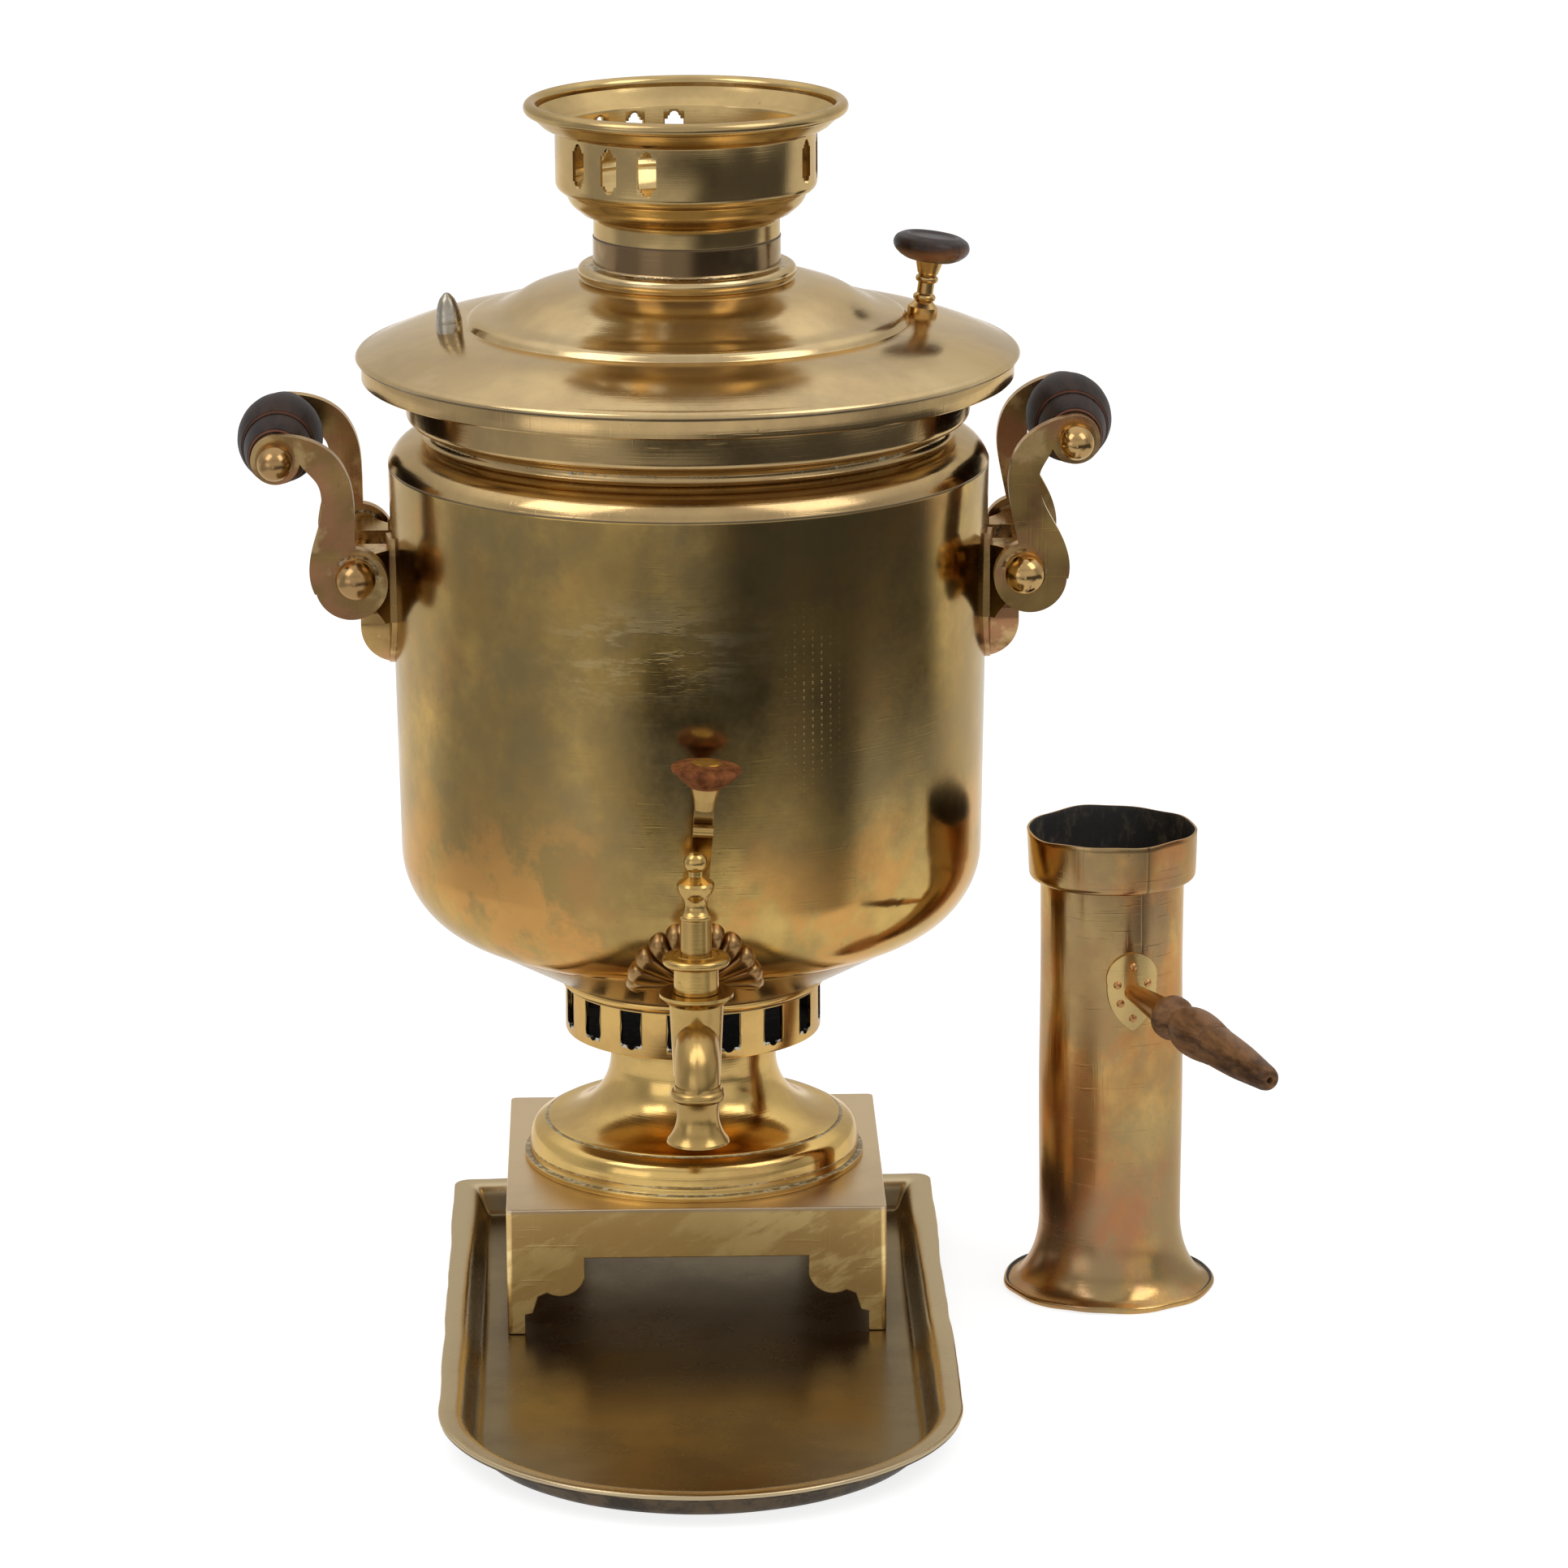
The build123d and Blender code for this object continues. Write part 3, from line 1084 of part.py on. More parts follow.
# ================================================================ handle of the pipe
seat = Vector(pipe_x + (leaf_inside + leaf_sheet) * cos(turn), pipe_y + (leaf_inside + leaf_sheet) * sin(turn),
              leaf_rise)
aim, fall = radians(handle_turn), radians(handle_droop)
along = Vector(cos(aim) * cos(fall), sin(aim) * cos(fall), -sin(fall))
handle_plane = Plane(origin=seat, x_dir=along, z_dir=Vector(-sin(aim), cos(aim), 0))
handle_axis = Axis(seat, along)
with BuildPart() as handle_socket:
    with BuildSketch(handle_plane):
        with BuildLine():
            wall = Polyline((-6, socket_root_radius), (0, socket_root_radius), (socket_length - 3, socket_radius - 0.3))
            bead = ThreePointArc(wall @ 1, (socket_length - 1.5, socket_radius + 0.8),
                                 (socket_length, socket_radius - 0.1))
            Polyline(bead @ 1, (socket_length, socket_radius - socket_wall),
                     (0, socket_root_radius - socket_wall), (-6, socket_root_radius - socket_wall), wall @ 0)
        make_face()
    revolve(axis=handle_axis)
    with Locations(Location((pipe_x, pipe_y, leaf_rise))):
        Cylinder(leaf_inside + leaf_sheet, 2 * leaf_height, mode=Mode.SUBTRACT)
keep("handle_socket", handle_socket)

with BuildPart() as handle_tang:
    with BuildSketch(handle_plane):
        Polygon((-6, 0), (tang_length, 0), (tang_length, tang_radius), (-6, tang_radius), align=None)
    revolve(axis=handle_axis)
    with Locations(Location((pipe_x, pipe_y, leaf_rise))):
        Cylinder(leaf_inside + leaf_sheet, 2 * leaf_height, mode=Mode.SUBTRACT)
keep("handle_tang", handle_tang)

with BuildPart() as pipe_handle:
    with BuildSketch(handle_plane):
        with BuildLine():
            start, end = socket_length, socket_length + wood_length
            collar = Polyline((start, 0), (start, wood_collar_radius - 1.6), (start + 1.4, wood_collar_radius),
                              (start + 5.2, wood_collar_radius), (start + 6.4, wood_collar_radius - 1))
            neck = ThreePointArc(collar @ 1, (start + 9.6, wood_neck_radius), (start + 13, wood_neck_radius + 2))
            belly = Spline(neck @ 1, (start + 18, wood_belly_radius - 0.8), (start + 24, wood_belly_radius),
                           (start + 38, wood_belly_radius - 1.3))
            grooves = Polyline(belly @ 1, (start + 38.6, wood_belly_radius - 2), (start + 39.2, wood_belly_radius - 1.4),
                               (start + 40.6, wood_belly_radius - 1.5), (start + 41.2, wood_belly_radius - 2.2),
                               (start + 41.8, wood_belly_radius - 1.7))
            taper = Spline(grooves @ 1, (start + 64, (wood_belly_radius + wood_end_radius) / 2 + 0.2),
                           (end - 2, wood_end_radius + 0.5))
            tip = ThreePointArc(taper @ 1, (end - 0.5, wood_end_radius - 0.8), (end, wood_end_radius - 2.4))
            Polyline(tip @ 1, (end, 1), (end - 3, 0), (start, 0))
        make_face()
    revolve(axis=handle_axis)
    with BuildSketch(handle_plane):
        Polygon((0, 0), (tang_length + set_gap, 0), (tang_length + set_gap, tang_radius + set_gap),
                (0, tang_radius + set_gap), align=None)
    revolve(axis=handle_axis, mode=Mode.SUBTRACT)
keep("pipe_handle", pipe_handle)

os.makedirs("parts", exist_ok=True)
for name, piece in pieces.items():
    export_step(piece, f"parts/{name}.step")
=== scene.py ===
from math import atan2, cos, degrees, hypot, pi, radians, sin, sqrt

import bmesh
import bpy
from mathutils import Matrix, Vector, noise


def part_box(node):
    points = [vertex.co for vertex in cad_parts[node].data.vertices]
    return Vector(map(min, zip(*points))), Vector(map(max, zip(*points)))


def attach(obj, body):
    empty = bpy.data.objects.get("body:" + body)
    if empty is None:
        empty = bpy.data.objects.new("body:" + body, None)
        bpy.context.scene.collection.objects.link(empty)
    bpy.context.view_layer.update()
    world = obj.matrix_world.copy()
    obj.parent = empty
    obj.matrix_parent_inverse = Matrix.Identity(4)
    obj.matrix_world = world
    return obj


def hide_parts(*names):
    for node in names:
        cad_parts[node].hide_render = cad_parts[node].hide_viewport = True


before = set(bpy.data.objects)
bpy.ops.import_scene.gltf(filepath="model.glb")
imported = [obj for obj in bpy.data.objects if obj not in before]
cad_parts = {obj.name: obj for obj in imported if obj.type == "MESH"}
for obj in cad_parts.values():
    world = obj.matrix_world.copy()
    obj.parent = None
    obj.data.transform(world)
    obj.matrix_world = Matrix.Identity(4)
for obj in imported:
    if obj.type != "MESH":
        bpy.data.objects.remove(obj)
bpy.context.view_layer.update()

mm = 0.001
weld = 0.004 * mm  # points closer than this are one point


# ---------------------------------------------------------------- drip tray
# A flat brass tray with sloping sides and a level rim, pressed from one sheet.
# Its floor is scoured dull by glasses and water, and its corners are rounded over.
class Wire:
    """A socket of a material, on which ordinary maths adds the nodes it needs."""

    def __init__(self, tree, socket=None):
        self.tree, self.socket = tree, socket

    def node(self, kind, settings, inputs, output=0):
        """Add one node: its settings first, then the values or wires of its sockets."""
        made = self.tree.nodes.new("ShaderNode" + kind)
        for key, value in settings.items():
            setattr(made, key, value)
        for key, value in inputs.items():
            if isinstance(value, Wire):
                self.tree.links.new(value.socket, made.inputs[key])
            else:
                made.inputs[key].default_value = value
        return Wire(self.tree, made.outputs[output])

    def maths(self, operation, *values):
        return self.node("Math", {"operation": operation}, dict(enumerate(values)))

    def __add__(self, other):
        return self.maths("ADD", self, other)

    def __sub__(self, other):
        return self.maths("SUBTRACT", self, other)

    def __rsub__(self, other):
        return self.maths("SUBTRACT", other, self)

    def __mul__(self, other):
        return self.maths("MULTIPLY", self, other)

    __radd__, __rmul__ = __add__, __mul__

    def above(self, edge, soft):
        """0 below the edge and 1 above it, with a soft step."""
        return self.node("MapRange", {"interpolation_type": "SMOOTHSTEP"},
                         {"Value": self, "From Min": edge - soft, "From Max": edge + soft})

    def near(self, place, width):
        """1 at a place, falling to 0 at a distance."""
        return 1 - self.maths("ABSOLUTE", self - place).above(width * 0.5, width * 0.5)

    def tint(self, low, high):
        """Blend two colours by this value."""
        return self.node("Mix", {"data_type": "RGBA"}, {0: self, 6: low, 7: high}, output=2)

    def clouds(self, scale, detail=4.0, rough=0.55, stretch=(1, 1, 1), shift=(0, 0, 0)):
        """Noise over a place, stretched and shifted."""
        laid = self.node("Mapping", {}, {"Vector": self, "Scale": stretch, "Location": shift})
        return laid.node("TexNoise", {}, {"Vector": laid, "Scale": scale, "Detail": detail, "Roughness": rough})


def new_material(name):
    """An empty material, its shader, and the place of each point on the object."""
    made = bpy.data.materials.new(name)
    made.use_nodes = True
    shader = made.node_tree.nodes["Principled BSDF"]
    start = Wire(made.node_tree)
    return made, shader, start.node("TexCoord", {}, {}, output="Object")


def connect(shader, **wires):
    """Lead wires into the shader's sockets and set its plain values."""
    for key, value in wires.items():
        socket = shader.inputs[key.replace("_", " ")]
        if isinstance(value, Wire):
            value.tree.links.new(value.socket, socket)
        else:
            socket.default_value = value


def bumped(height, strength, distance):
    return height.node("Bump", {}, {"Height": height, "Strength": strength, "Distance": distance})


def old_brass(name, clean, dull, gloss, dulling=0.5, redness=0.0, centre=(0, 0), turned=0.0, coat=0.1,
              spots=0.5, scratches=0.4, grime=(), dark_lines=(), edge=(0.97, 0.86, 0.68, 1), detail=None):
    """Handled brass: clear and tarnished clouds, copper stains, dark spots, fine scratches, grimy lines, and dark lines
    at joints; on the lid and rim these dark lines are painted shade under an overhang.
    """
    made, shader, place = new_material(name)
    apart = place.node("VectorMath", {"operation": "SUBTRACT"}, {0: place, 1: (*centre, 0)})
    x = apart.node("SeparateXYZ", {}, {"Vector": apart})
    y, z = (Wire(x.tree, x.socket.node.outputs[axis]) for axis in (1, 2))
    radius = x.maths("SQRT", x * x + y * y)
    broad = place.clouds(9, 4, 0.6)
    patches = place.clouds(31, 6, 0.65, shift=(3, 1, 7))
    smear = place.clouds(20, 3, 0.5, stretch=(1, 1, 0.25), shift=(5, 5, 0))
    grain = place.clouds(420, 3, 0.6)
    age = (broad * 0.5 + patches * 0.3 + smear * 0.25).above(1.02 - dulling, 0.12)
    colour = age.tint(clean, dull)
    if redness:
        stain = place.clouds(17, 5, 0.7, shift=(11, 4, 2)).above(0.64 - 0.12 * redness, 0.09) * (0.6 * redness)
        colour = stain.tint(colour, (0.46, 0.175, 0.06, 1))
    fleck = place.clouds(140, 3, 0.7, shift=(1, 9, 4)).above(0.76 - 0.06 * spots, 0.04) * (0.6 * spots)
    colour = fleck.tint(colour, (0.10, 0.065, 0.03, 1))
    scores = (place.clouds(900, 2, 0.5, stretch=(1, 1, 0.04)).above(0.66, 0.05)
              + place.clouds(700, 2, 0.5, stretch=(0.05, 0.05, 1), shift=(2, 2, 2)).above(0.68, 0.04))
    relief = broad * 0.35 + patches * 0.09 + scores * (0.05 * scratches) - fleck * 0.05
    grime_and_dark_lines = fleck * 0.0
    for height, width, amount in grime:
        found = (grain * 0.7 + patches * 0.7).above(0.98 - 0.5 * amount, 0.08)
        grime_and_dark_lines = grime_and_dark_lines.maths("MAXIMUM", grime_and_dark_lines, z.near(height * mm, width * mm) * found)
    crust = place.clouds(260, 4, 0.7, shift=(6, 6, 6)).above(0.54, 0.08)
    colour = grime_and_dark_lines.tint(colour, crust.tint((0.09, 0.07, 0.04, 1), (0.44, 0.46, 0.38, 1)))
    # Dark lines at given heights: joints between parts, and on the lid and rim a painted shadow in the gap under the
    # lid's overhanging edge.
    for height, width in dark_lines:
        dark_line = z.near(height * mm, width * mm) * 0.9
        colour, grime_and_dark_lines = dark_line.tint(colour, (0.03, 0.022, 0.014, 1)), grime_and_dark_lines.maths("MAXIMUM", grime_and_dark_lines, dark_line)
    if detail:
        colour, relief = detail(place, x, y, z, colour, relief)
    if turned:
        rings = radius.node("CombineXYZ", {}, {"X": radius, "Y": z, "Z": 0.0})
        relief = relief + rings.clouds(1700, 2, 0.5) * (0.08 * turned)
    connect(shader, Base_Color=colour, Metallic=1 - grime_and_dark_lines * 0.85,
            Roughness=age * 0.10 + grain * 0.06 + patches * 0.08 + (gloss - 0.07) + fleck * 0.2 + grime_and_dark_lines * 0.35,
            Coat_Weight=age * (coat * 0.7) + coat * 0.3, Coat_Roughness=0.2, Coat_IOR=1.45, Specular_Tint=edge,
            Normal=bumped(relief, 0.35, 0.0012))
    return made


def creased(work, sharp):
    """Smooth every edge but those that turn more than a number of degrees."""
    for edge in work.edges:
        edge.smooth = len(edge.link_faces) == 2 and edge.calc_face_angle(0) < radians(sharp)


def rounded_over(work, edge, sharp, rounds):
    """Round over the edges that turn more than a number of degrees."""
    corners = [e for e in work.edges if len(e.link_faces) == 2 and e.calc_face_angle(0) > radians(sharp)]
    bmesh.ops.bevel(work, geom=corners, offset=edge, segments=rounds, profile=0.5, affect="EDGES",
                    clamp_overlap=True, material=-1)


def finished(name, work, material, body, slot, *stands_for, sharp=32):
    """Turn a bmesh into an object that rides on its body, smooth but for its sharp edges."""
    for face in work.faces:
        face.smooth = True
    creased(work, sharp)
    mesh = bpy.data.meshes.new(name)
    work.to_mesh(mesh)
    work.free()
    mesh.materials.append(material)
    piece = bpy.data.objects.new(name, mesh)
    bpy.context.scene.collection.objects.link(piece)
    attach(piece, body)
    if stands_for:
        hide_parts(*stands_for)
    return piece


def softened(node, material, body, slot, edge=0.3 * mm, sharp=28, rounds=2):
    """A copy of a cast or pressed piece with its edges rounded over."""
    work = bmesh.new()
    work.from_mesh(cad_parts[node].data)
    bmesh.ops.remove_doubles(work, verts=work.verts, dist=weld)
    bmesh.ops.dissolve_limit(work, angle_limit=radians(0.3), verts=work.verts, edges=work.edges)
    low = [min(v.co[axis] for v in work.verts) for axis in range(3)]
    high = [max(v.co[axis] for v in work.verts) for axis in range(3)]
    rounded_over(work, edge, sharp, rounds)
    for point in work.verts:
        point.co = [min(max(point.co[axis], low[axis]), high[axis]) for axis in range(3)]
    piece = finished(node.replace("_", "-") + "-piece", work, material, body, slot, node)
    even = piece.modifiers.new("even", "WEIGHTED_NORMAL")
    even.keep_sharp, even.weight = True, 60
    return piece


def beaten(place, x, y, z, colour, relief):
    """Shallow dents and brown stains on the tray's floor, a painted shadow under the base, and a painted highlight on
    the rim.
    """
    stain = place.clouds(14, 4, 0.6, stretch=(1, 0.6, 1), shift=(2, 7, 0)).above(0.52, 0.12) * 0.55
    knocks = place.clouds(26, 1, 0.4, stretch=(1, 0.7, 1), shift=(8, 3, 0))
    # The level rim is painted lighter: a painted highlight.
    rim = z.above(10.5 * mm, 2.5 * mm) * 0.55
    # A dark patch on the floor under the base: a painted shadow of the plinth.
    under = (1 - x.maths("ABSOLUTE", x).above(0.078, 0.012)) * y.near(0, 0.17).above(0.1, 0.1) * (1 - rim)
    colour = (under * 0.85).tint(stain.tint(colour, (0.15, 0.105, 0.06, 1)), (0.07, 0.06, 0.055, 1))
    return rim.tint(colour, (0.75, 0.60, 0.37, 1)), relief + knocks * 1.2


tray_brass = old_brass("scoured tray brass", (0.18, 0.132, 0.07, 1), (0.125, 0.09, 0.047, 1), 0.22, dulling=0.5,
                       coat=0.1, spots=0.4, scratches=0.9, detail=beaten)
tray_width, tray_back, tray_front = 208.0, 94.5, 303.0


def tray_ring(inset, level):
    """The tray's outline drawn in by a distance: straight back and sides, round corners and a half-round front."""
    half, back, corner = tray_width / 2 - inset, tray_back - inset, max(0.6, 7.0 - inset * 0.4)
    tip = tray_width / 2 - tray_front
    right = [(corner - half + step * (half - corner) / 12, back) for step in range(12, 24)]
    right += [(half - corner + corner * sin(turn), back - corner + corner * cos(turn))
              for turn in (radians(15 * step) for step in range(6))]
    right += [(half, back - corner + (tip - back + corner) * step / 48) for step in range(48)]
    right += [(half * cos(turn), tip - half * sin(turn)) for turn in (radians(3 * step) for step in range(30))]
    left = [(-x, y) for x, y in reversed(right[1:])]
    return [(x, y, level) for x, y in [*right, (0, tip - half), *left]]


def battered(co, inset):
    """How far years of use have bent the sheet at a point: the rim most, always inward and down."""
    edge = max(0.0, 1 - inset / 20)
    slow, quick = noise.noise(co / 46 + Vector((3, 1, 0))), noise.noise(co / 17)
    inward = Vector((co.x, co.y + 60, 0)).normalized() * -(0.75 + 0.9 * slow + 0.35 * quick) * edge
    fold = 1.6 * edge * max(0.0, 1 - hypot(abs(co.x) - 92, co.y - 74) / 26)
    return inward + Vector((0, 0, -(0.45 + 0.55 * slow + 0.3 * quick) * edge - fold * 0.6
                            - 0.12 * (1 - edge) * (1 + noise.noise(co / 30))))


tray_section = [(0.0, 12.5), (0.0, 13.5), (0.3, 13.85), (0.8, 14.0), (3.0, 13.9), (6.0, 13.7), (8.0, 13.3), (9.4, 12.4),
                (10.6, 10.6), (12.4, 6.8), (13.8, 3.8), (15.0, 2.1), (16.4, 1.4), (18.5, 1.2), (22, 1.2), (28, 1.2),
                (36, 1.2), (46, 1.2), (58, 1.2), (72, 1.2), (88, 1.2), (100, 1.2), (103, 1.2)]
work = bmesh.new()
sides = []
for sheet in (0.0, 0.9):
    loops = [[work.verts.new((Vector(point) + battered(Vector(point), inset)) * mm)
              for point in tray_ring(inset + (sheet * 0.4 if inset < 1 else 0), level - sheet)]
             for inset, level in tray_section]
    for outer, inner in zip(loops, loops[1:]):
        for a, b, c, d in zip(outer, [*outer[1:], outer[0]], [*inner[1:], inner[0]], inner):
            work.faces.new((a, b, c, d))
    last = loops[-1]
    middle = len(last) // 2
    for step in range(1, middle - 1):
        work.faces.new((last[step], last[step + 1], last[-step - 1], last[-step]))
    work.faces.new((last[0], last[1], last[-1]))
    work.faces.new((last[middle - 1], last[middle], last[middle + 1]))
    sides.append(loops[0])
for a, b, c, d in zip(sides[0], [*sides[0][1:], sides[0][0]], [*sides[1][1:], sides[1][0]], sides[1]):
    work.faces.new((a, b, c, d))
bmesh.ops.remove_doubles(work, verts=work.verts, dist=weld)
bmesh.ops.recalc_face_normals(work, faces=work.faces)
tray = finished("battered-tray", work, tray_brass, "tray", "tray_brass", "drip_tray", sharp=60)
# The tray's downward-facing faces get a dark, mottled material: painted shade on its outer slope and underside.
shadowed, shader, place = new_material("stained underside")
stains = place.clouds(60, 5, 0.7)
connect(shader, Base_Color=stains.above(0.5, 0.12).tint((0.035, 0.024, 0.014, 1), (0.11, 0.075, 0.04, 1)), Metallic=0.6,
        Roughness=stains * 0.2 + 0.42, Normal=bumped(stains, 0.3, 0.0006))
tray.data.materials.append(shadowed)
for face in tray.data.polygons:
    if face.normal.z < -0.2:
        face.material_index = 1

# ---------------------------------------------------------------- square base
# A cast square plinth on four bracket feet, filed flat and polished on its faces.
# Yellow where its faces have been rubbed; the top is painted a pale grey-brown, a painted reflection of the bright room
# on its dull surface.
plinth_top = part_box("base_plinth")[1].z


def polish_smears_and_top_reflection(place, x, y, z, colour, relief):
    """Yellow sweeps of a polishing cloth on the upright faces; the top is painted grey-brown, a painted reflection of
    the bright room.
    """
    level = z.above(plinth_top - 1.5 * mm, 1 * mm)
    turned_a_little = place.node("Mapping", {}, {"Vector": place, "Rotation": (0, 0.5, 0)})
    streaks = turned_a_little.clouds(160, 3, 0.6, stretch=(0.12, 0.12, 1))
    cloths = turned_a_little.clouds(34, 5, 0.7, stretch=(0.6, 0.6, 1.6), shift=(4, 1, 3))
    sweep = (cloths + streaks * 0.35).above(0.69, 0.06) * (1 - level)
    colour = (sweep * 0.8).tint(colour, (0.95, 0.74, 0.34, 1))
    # The top is painted a pale grey-brown: a painted reflection of the bright room overhead.
    return (level * 0.75).tint(colour, (0.58, 0.475, 0.36, 1)), relief + sweep * 0.04


plinth_brass = old_brass("plinth brass", (0.84, 0.60, 0.25, 1), (0.60, 0.40, 0.16, 1), 0.3, dulling=0.45,
                         coat=0.2, scratches=0.9, redness=0.2, detail=polish_smears_and_top_reflection)
softened("base_plinth", plinth_brass, "samovar", "aged_brass", edge=0.6 * mm)


# ---------------------------------------------------------------- pedestal
# Spun from sheet: a flat edged disc, a fat half round, and a hollow sweep up to the stem.
# Old polish is caked in a line at each of its steps.
def arc(centre, radius, start, end, fine=12):
    """Points on a round stretch; the angles are in degrees from straight outward."""
    turns = [radians(start + (end - start) * step / fine) for step in range(fine + 1)]
    return [(centre[0] + radius * cos(turn), centre[1] + radius * sin(turn)) for turn in turns]


def bow(start, middle, end, fine=12):
    """Points on the round line through three."""
    (ax, az), (bx, bz), (cx, cz) = start, middle, end
    scale = 2 * (ax * (bz - cz) + bx * (cz - az) + cx * (az - bz))
    sums = [u * u + v * v for u, v in (start, middle, end)]
    x = (sums[0] * (bz - cz) + sums[1] * (cz - az) + sums[2] * (az - bz)) / scale
    z = (sums[0] * (cx - bx) + sums[1] * (ax - cx) + sums[2] * (bx - ax)) / scale
    first, half, last = (degrees(atan2(v - z, u - x)) for u, v in (start, middle, end))
    half += 360 * round((first - half) / 360)
    last += 360 * round((half - last) / 360)
    return arc((x, z), hypot(ax - x, az - z), first, last, fine)


def curve(*points, fine=6):
    """Points on a smooth line through the given ones."""
    made = []
    ends = (points[0], *points, points[-1])
    for a, b, c, d in zip(ends, ends[1:], ends[2:], ends[3:]):
        for step in range(fine):
            t = step / fine
            made.append(tuple(0.5 * (2 * q + (r - p) * t + (2 * p - 5 * q + 4 * r - s) * t**2
                                     + (3 * q - p - 3 * r + s) * t**3) for p, q, r, s in zip(a, b, c, d)))
    return [*made, points[-1]]


def lifted(level, points):
    """Points of an outline moved up to a level."""
    return [(radius, level + height) for radius, height in points]


def spun(outlines, steps=192, sheet=0.0, edge=0.0, centre=(0, 0)):
    """Spin outlines of radius and height, in millimetres, about an upright axis."""
    work = bmesh.new()
    for outline in outlines:
        rim = [work.verts.new((centre[0] + r * mm, centre[1], z * mm)) for r, z in outline]
        line = [work.edges.new(pair) for pair in zip(rim, rim[1:])]
        bmesh.ops.spin(work, geom=rim + line, cent=(*centre, 0), axis=(0, 0, 1), angle=2 * pi, steps=steps,
                       use_merge=True)
    bmesh.ops.remove_doubles(work, verts=work.verts, dist=weld)
    bmesh.ops.recalc_face_normals(work, faces=work.faces)
    if sheet:
        bmesh.ops.solidify(work, geom=work.faces[:], thickness=sheet * mm)
    if edge:
        rounded_over(work, edge * mm, 32, 2)
    return work


disc_low, disc_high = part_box("pedestal")
foot, stem_top = disc_low.z / mm, disc_high.z / mm
pedestal_brass = old_brass("pedestal brass", (0.68, 0.46, 0.155, 1), (0.44, 0.285, 0.10, 1), 0.12, dulling=0.48,
                           turned=0.8, redness=0.25, coat=0.2,
                           grime=[(foot + 2.5, 0.3, 1.4), (foot + 5.7, 0.3, 1.3), (foot + 16.5, 0.22, 1.3)])
finished("pedestal-spinning", spun([[
    *lifted(foot, [
        (71.1, 0), (71.1, 2.4), (69.0, 2.4), (69.0, 5.7),
        *curve((69.0, 5.9), (68.4, 10.5), (66.6, 14.0), (62.4, 16.4)),
        (61.2, 16.4), *arc((61.2, 43.8), 26.6, 270, 180, 20)]),
    (34.6, stem_top),
]], sheet=1.6, edge=0.3), pedestal_brass, "samovar", "aged_brass", "pedestal")

# ---------------------------------------------------------------- vent ring and grate
# A collar of brass with a rolled upper edge, pierced all round with upright slots that end in three small lobes.
# Behind it lie soot and the flat iron grate; smoke has blackened the slots' edges.
vent_low, vent_top = (corner.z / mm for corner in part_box("vent_ring"))
vent_radius = 53.3
vent_slots, first_slot = 16, -96.9
vent_turn = 360 / vent_slots


def ash_lines(place, x, y, z, colour, relief):
    """Black edges round every slot, and grey ash caked in the slots' lower ends."""
    phase = y.maths("ARCTAN2", y, x) * (1 / radians(vent_turn)) + (0.5 - first_slot / vent_turn)
    aside = phase.maths("ABSOLUTE", phase.maths("FRACT", phase) - 0.5) * (radians(vent_turn) * vent_radius)
    rough = place.clouds(300, 3, 0.6)
    side = (aside + rough * 0.8).near(5.35, 0.55) * z.near((vent_low + 12.5) * mm, 8.2 * mm).above(0.05, 0.05)
    colour = (side * 0.85).tint(colour, (0.035, 0.027, 0.02, 1))
    foot_end = (1 - (aside + rough * 1.2).above(5.3, 0.5)) * z.near((vent_low + 4.9) * mm, 1.6 * mm)
    ash = place.clouds(520, 3, 0.7).above(0.5, 0.08).tint((0.10, 0.085, 0.065, 1), (0.50, 0.50, 0.44, 1))
    return (foot_end.above(0.25, 0.2) * 0.95).tint(colour, ash), relief - side * 0.1 + foot_end * rough * 0.6


vent_brass = old_brass("smoked vent brass", (0.66, 0.425, 0.14, 1), (0.44, 0.265, 0.09, 1), 0.2, dulling=0.5,
                       turned=0.6, redness=0.5, dark_lines=[(vent_top - 4.7, 0.6)], detail=ash_lines)


def recoated(node, material):
    """Give a piece that is shown as it is made its own finish."""
    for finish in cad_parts[node].material_slots:
        finish.material = material


def pierced(name, work, cutters, material, body, slot, node):
    """A spun piece with holes cut through it."""
    piece = finished(name, work, material, body, slot, node)
    knife = bpy.data.objects.new("knife", bpy.data.meshes.new("knife"))
    cutters.to_mesh(knife.data)
    cutters.free()
    bpy.context.scene.collection.objects.link(knife)
    cut = piece.modifiers.new("cut", "BOOLEAN")
    cut.operation, cut.solver, cut.object = "DIFFERENCE", "EXACT", knife
    bpy.context.view_layer.update()
    whole = piece.data
    made = bpy.data.meshes.new_from_object(piece.evaluated_get(bpy.context.evaluated_depsgraph_get()))
    piece.modifiers.clear()
    bpy.data.objects.remove(knife)
    done = bmesh.new()
    done.from_mesh(made)
    creased(done, 32)
    done.to_mesh(made)
    done.free()
    piece.data = made
    bpy.data.meshes.remove(whole)
    return piece


def prism(work, outline, turn, level, reach):
    """Add an upright outline, in millimetres, pushed outward from near the axis at a turn."""
    ahead = Vector((cos(radians(turn)), sin(radians(turn)), 0))
    across = Vector((-ahead.y, ahead.x, 0))
    near = [work.verts.new(ahead * (reach[0] * mm) + across * (u * mm) + Vector((0, 0, (level + v) * mm)))
            for u, v in outline]
    face = work.faces.new(near)
    grown = bmesh.ops.extrude_face_region(work, geom=[face])
    moved = [part for part in grown["geom"] if isinstance(part, bmesh.types.BMVert)]
    bmesh.ops.translate(work, verts=moved, vec=ahead * ((reach[1] - reach[0]) * mm))
    bmesh.ops.recalc_face_normals(work, faces=work.faces)


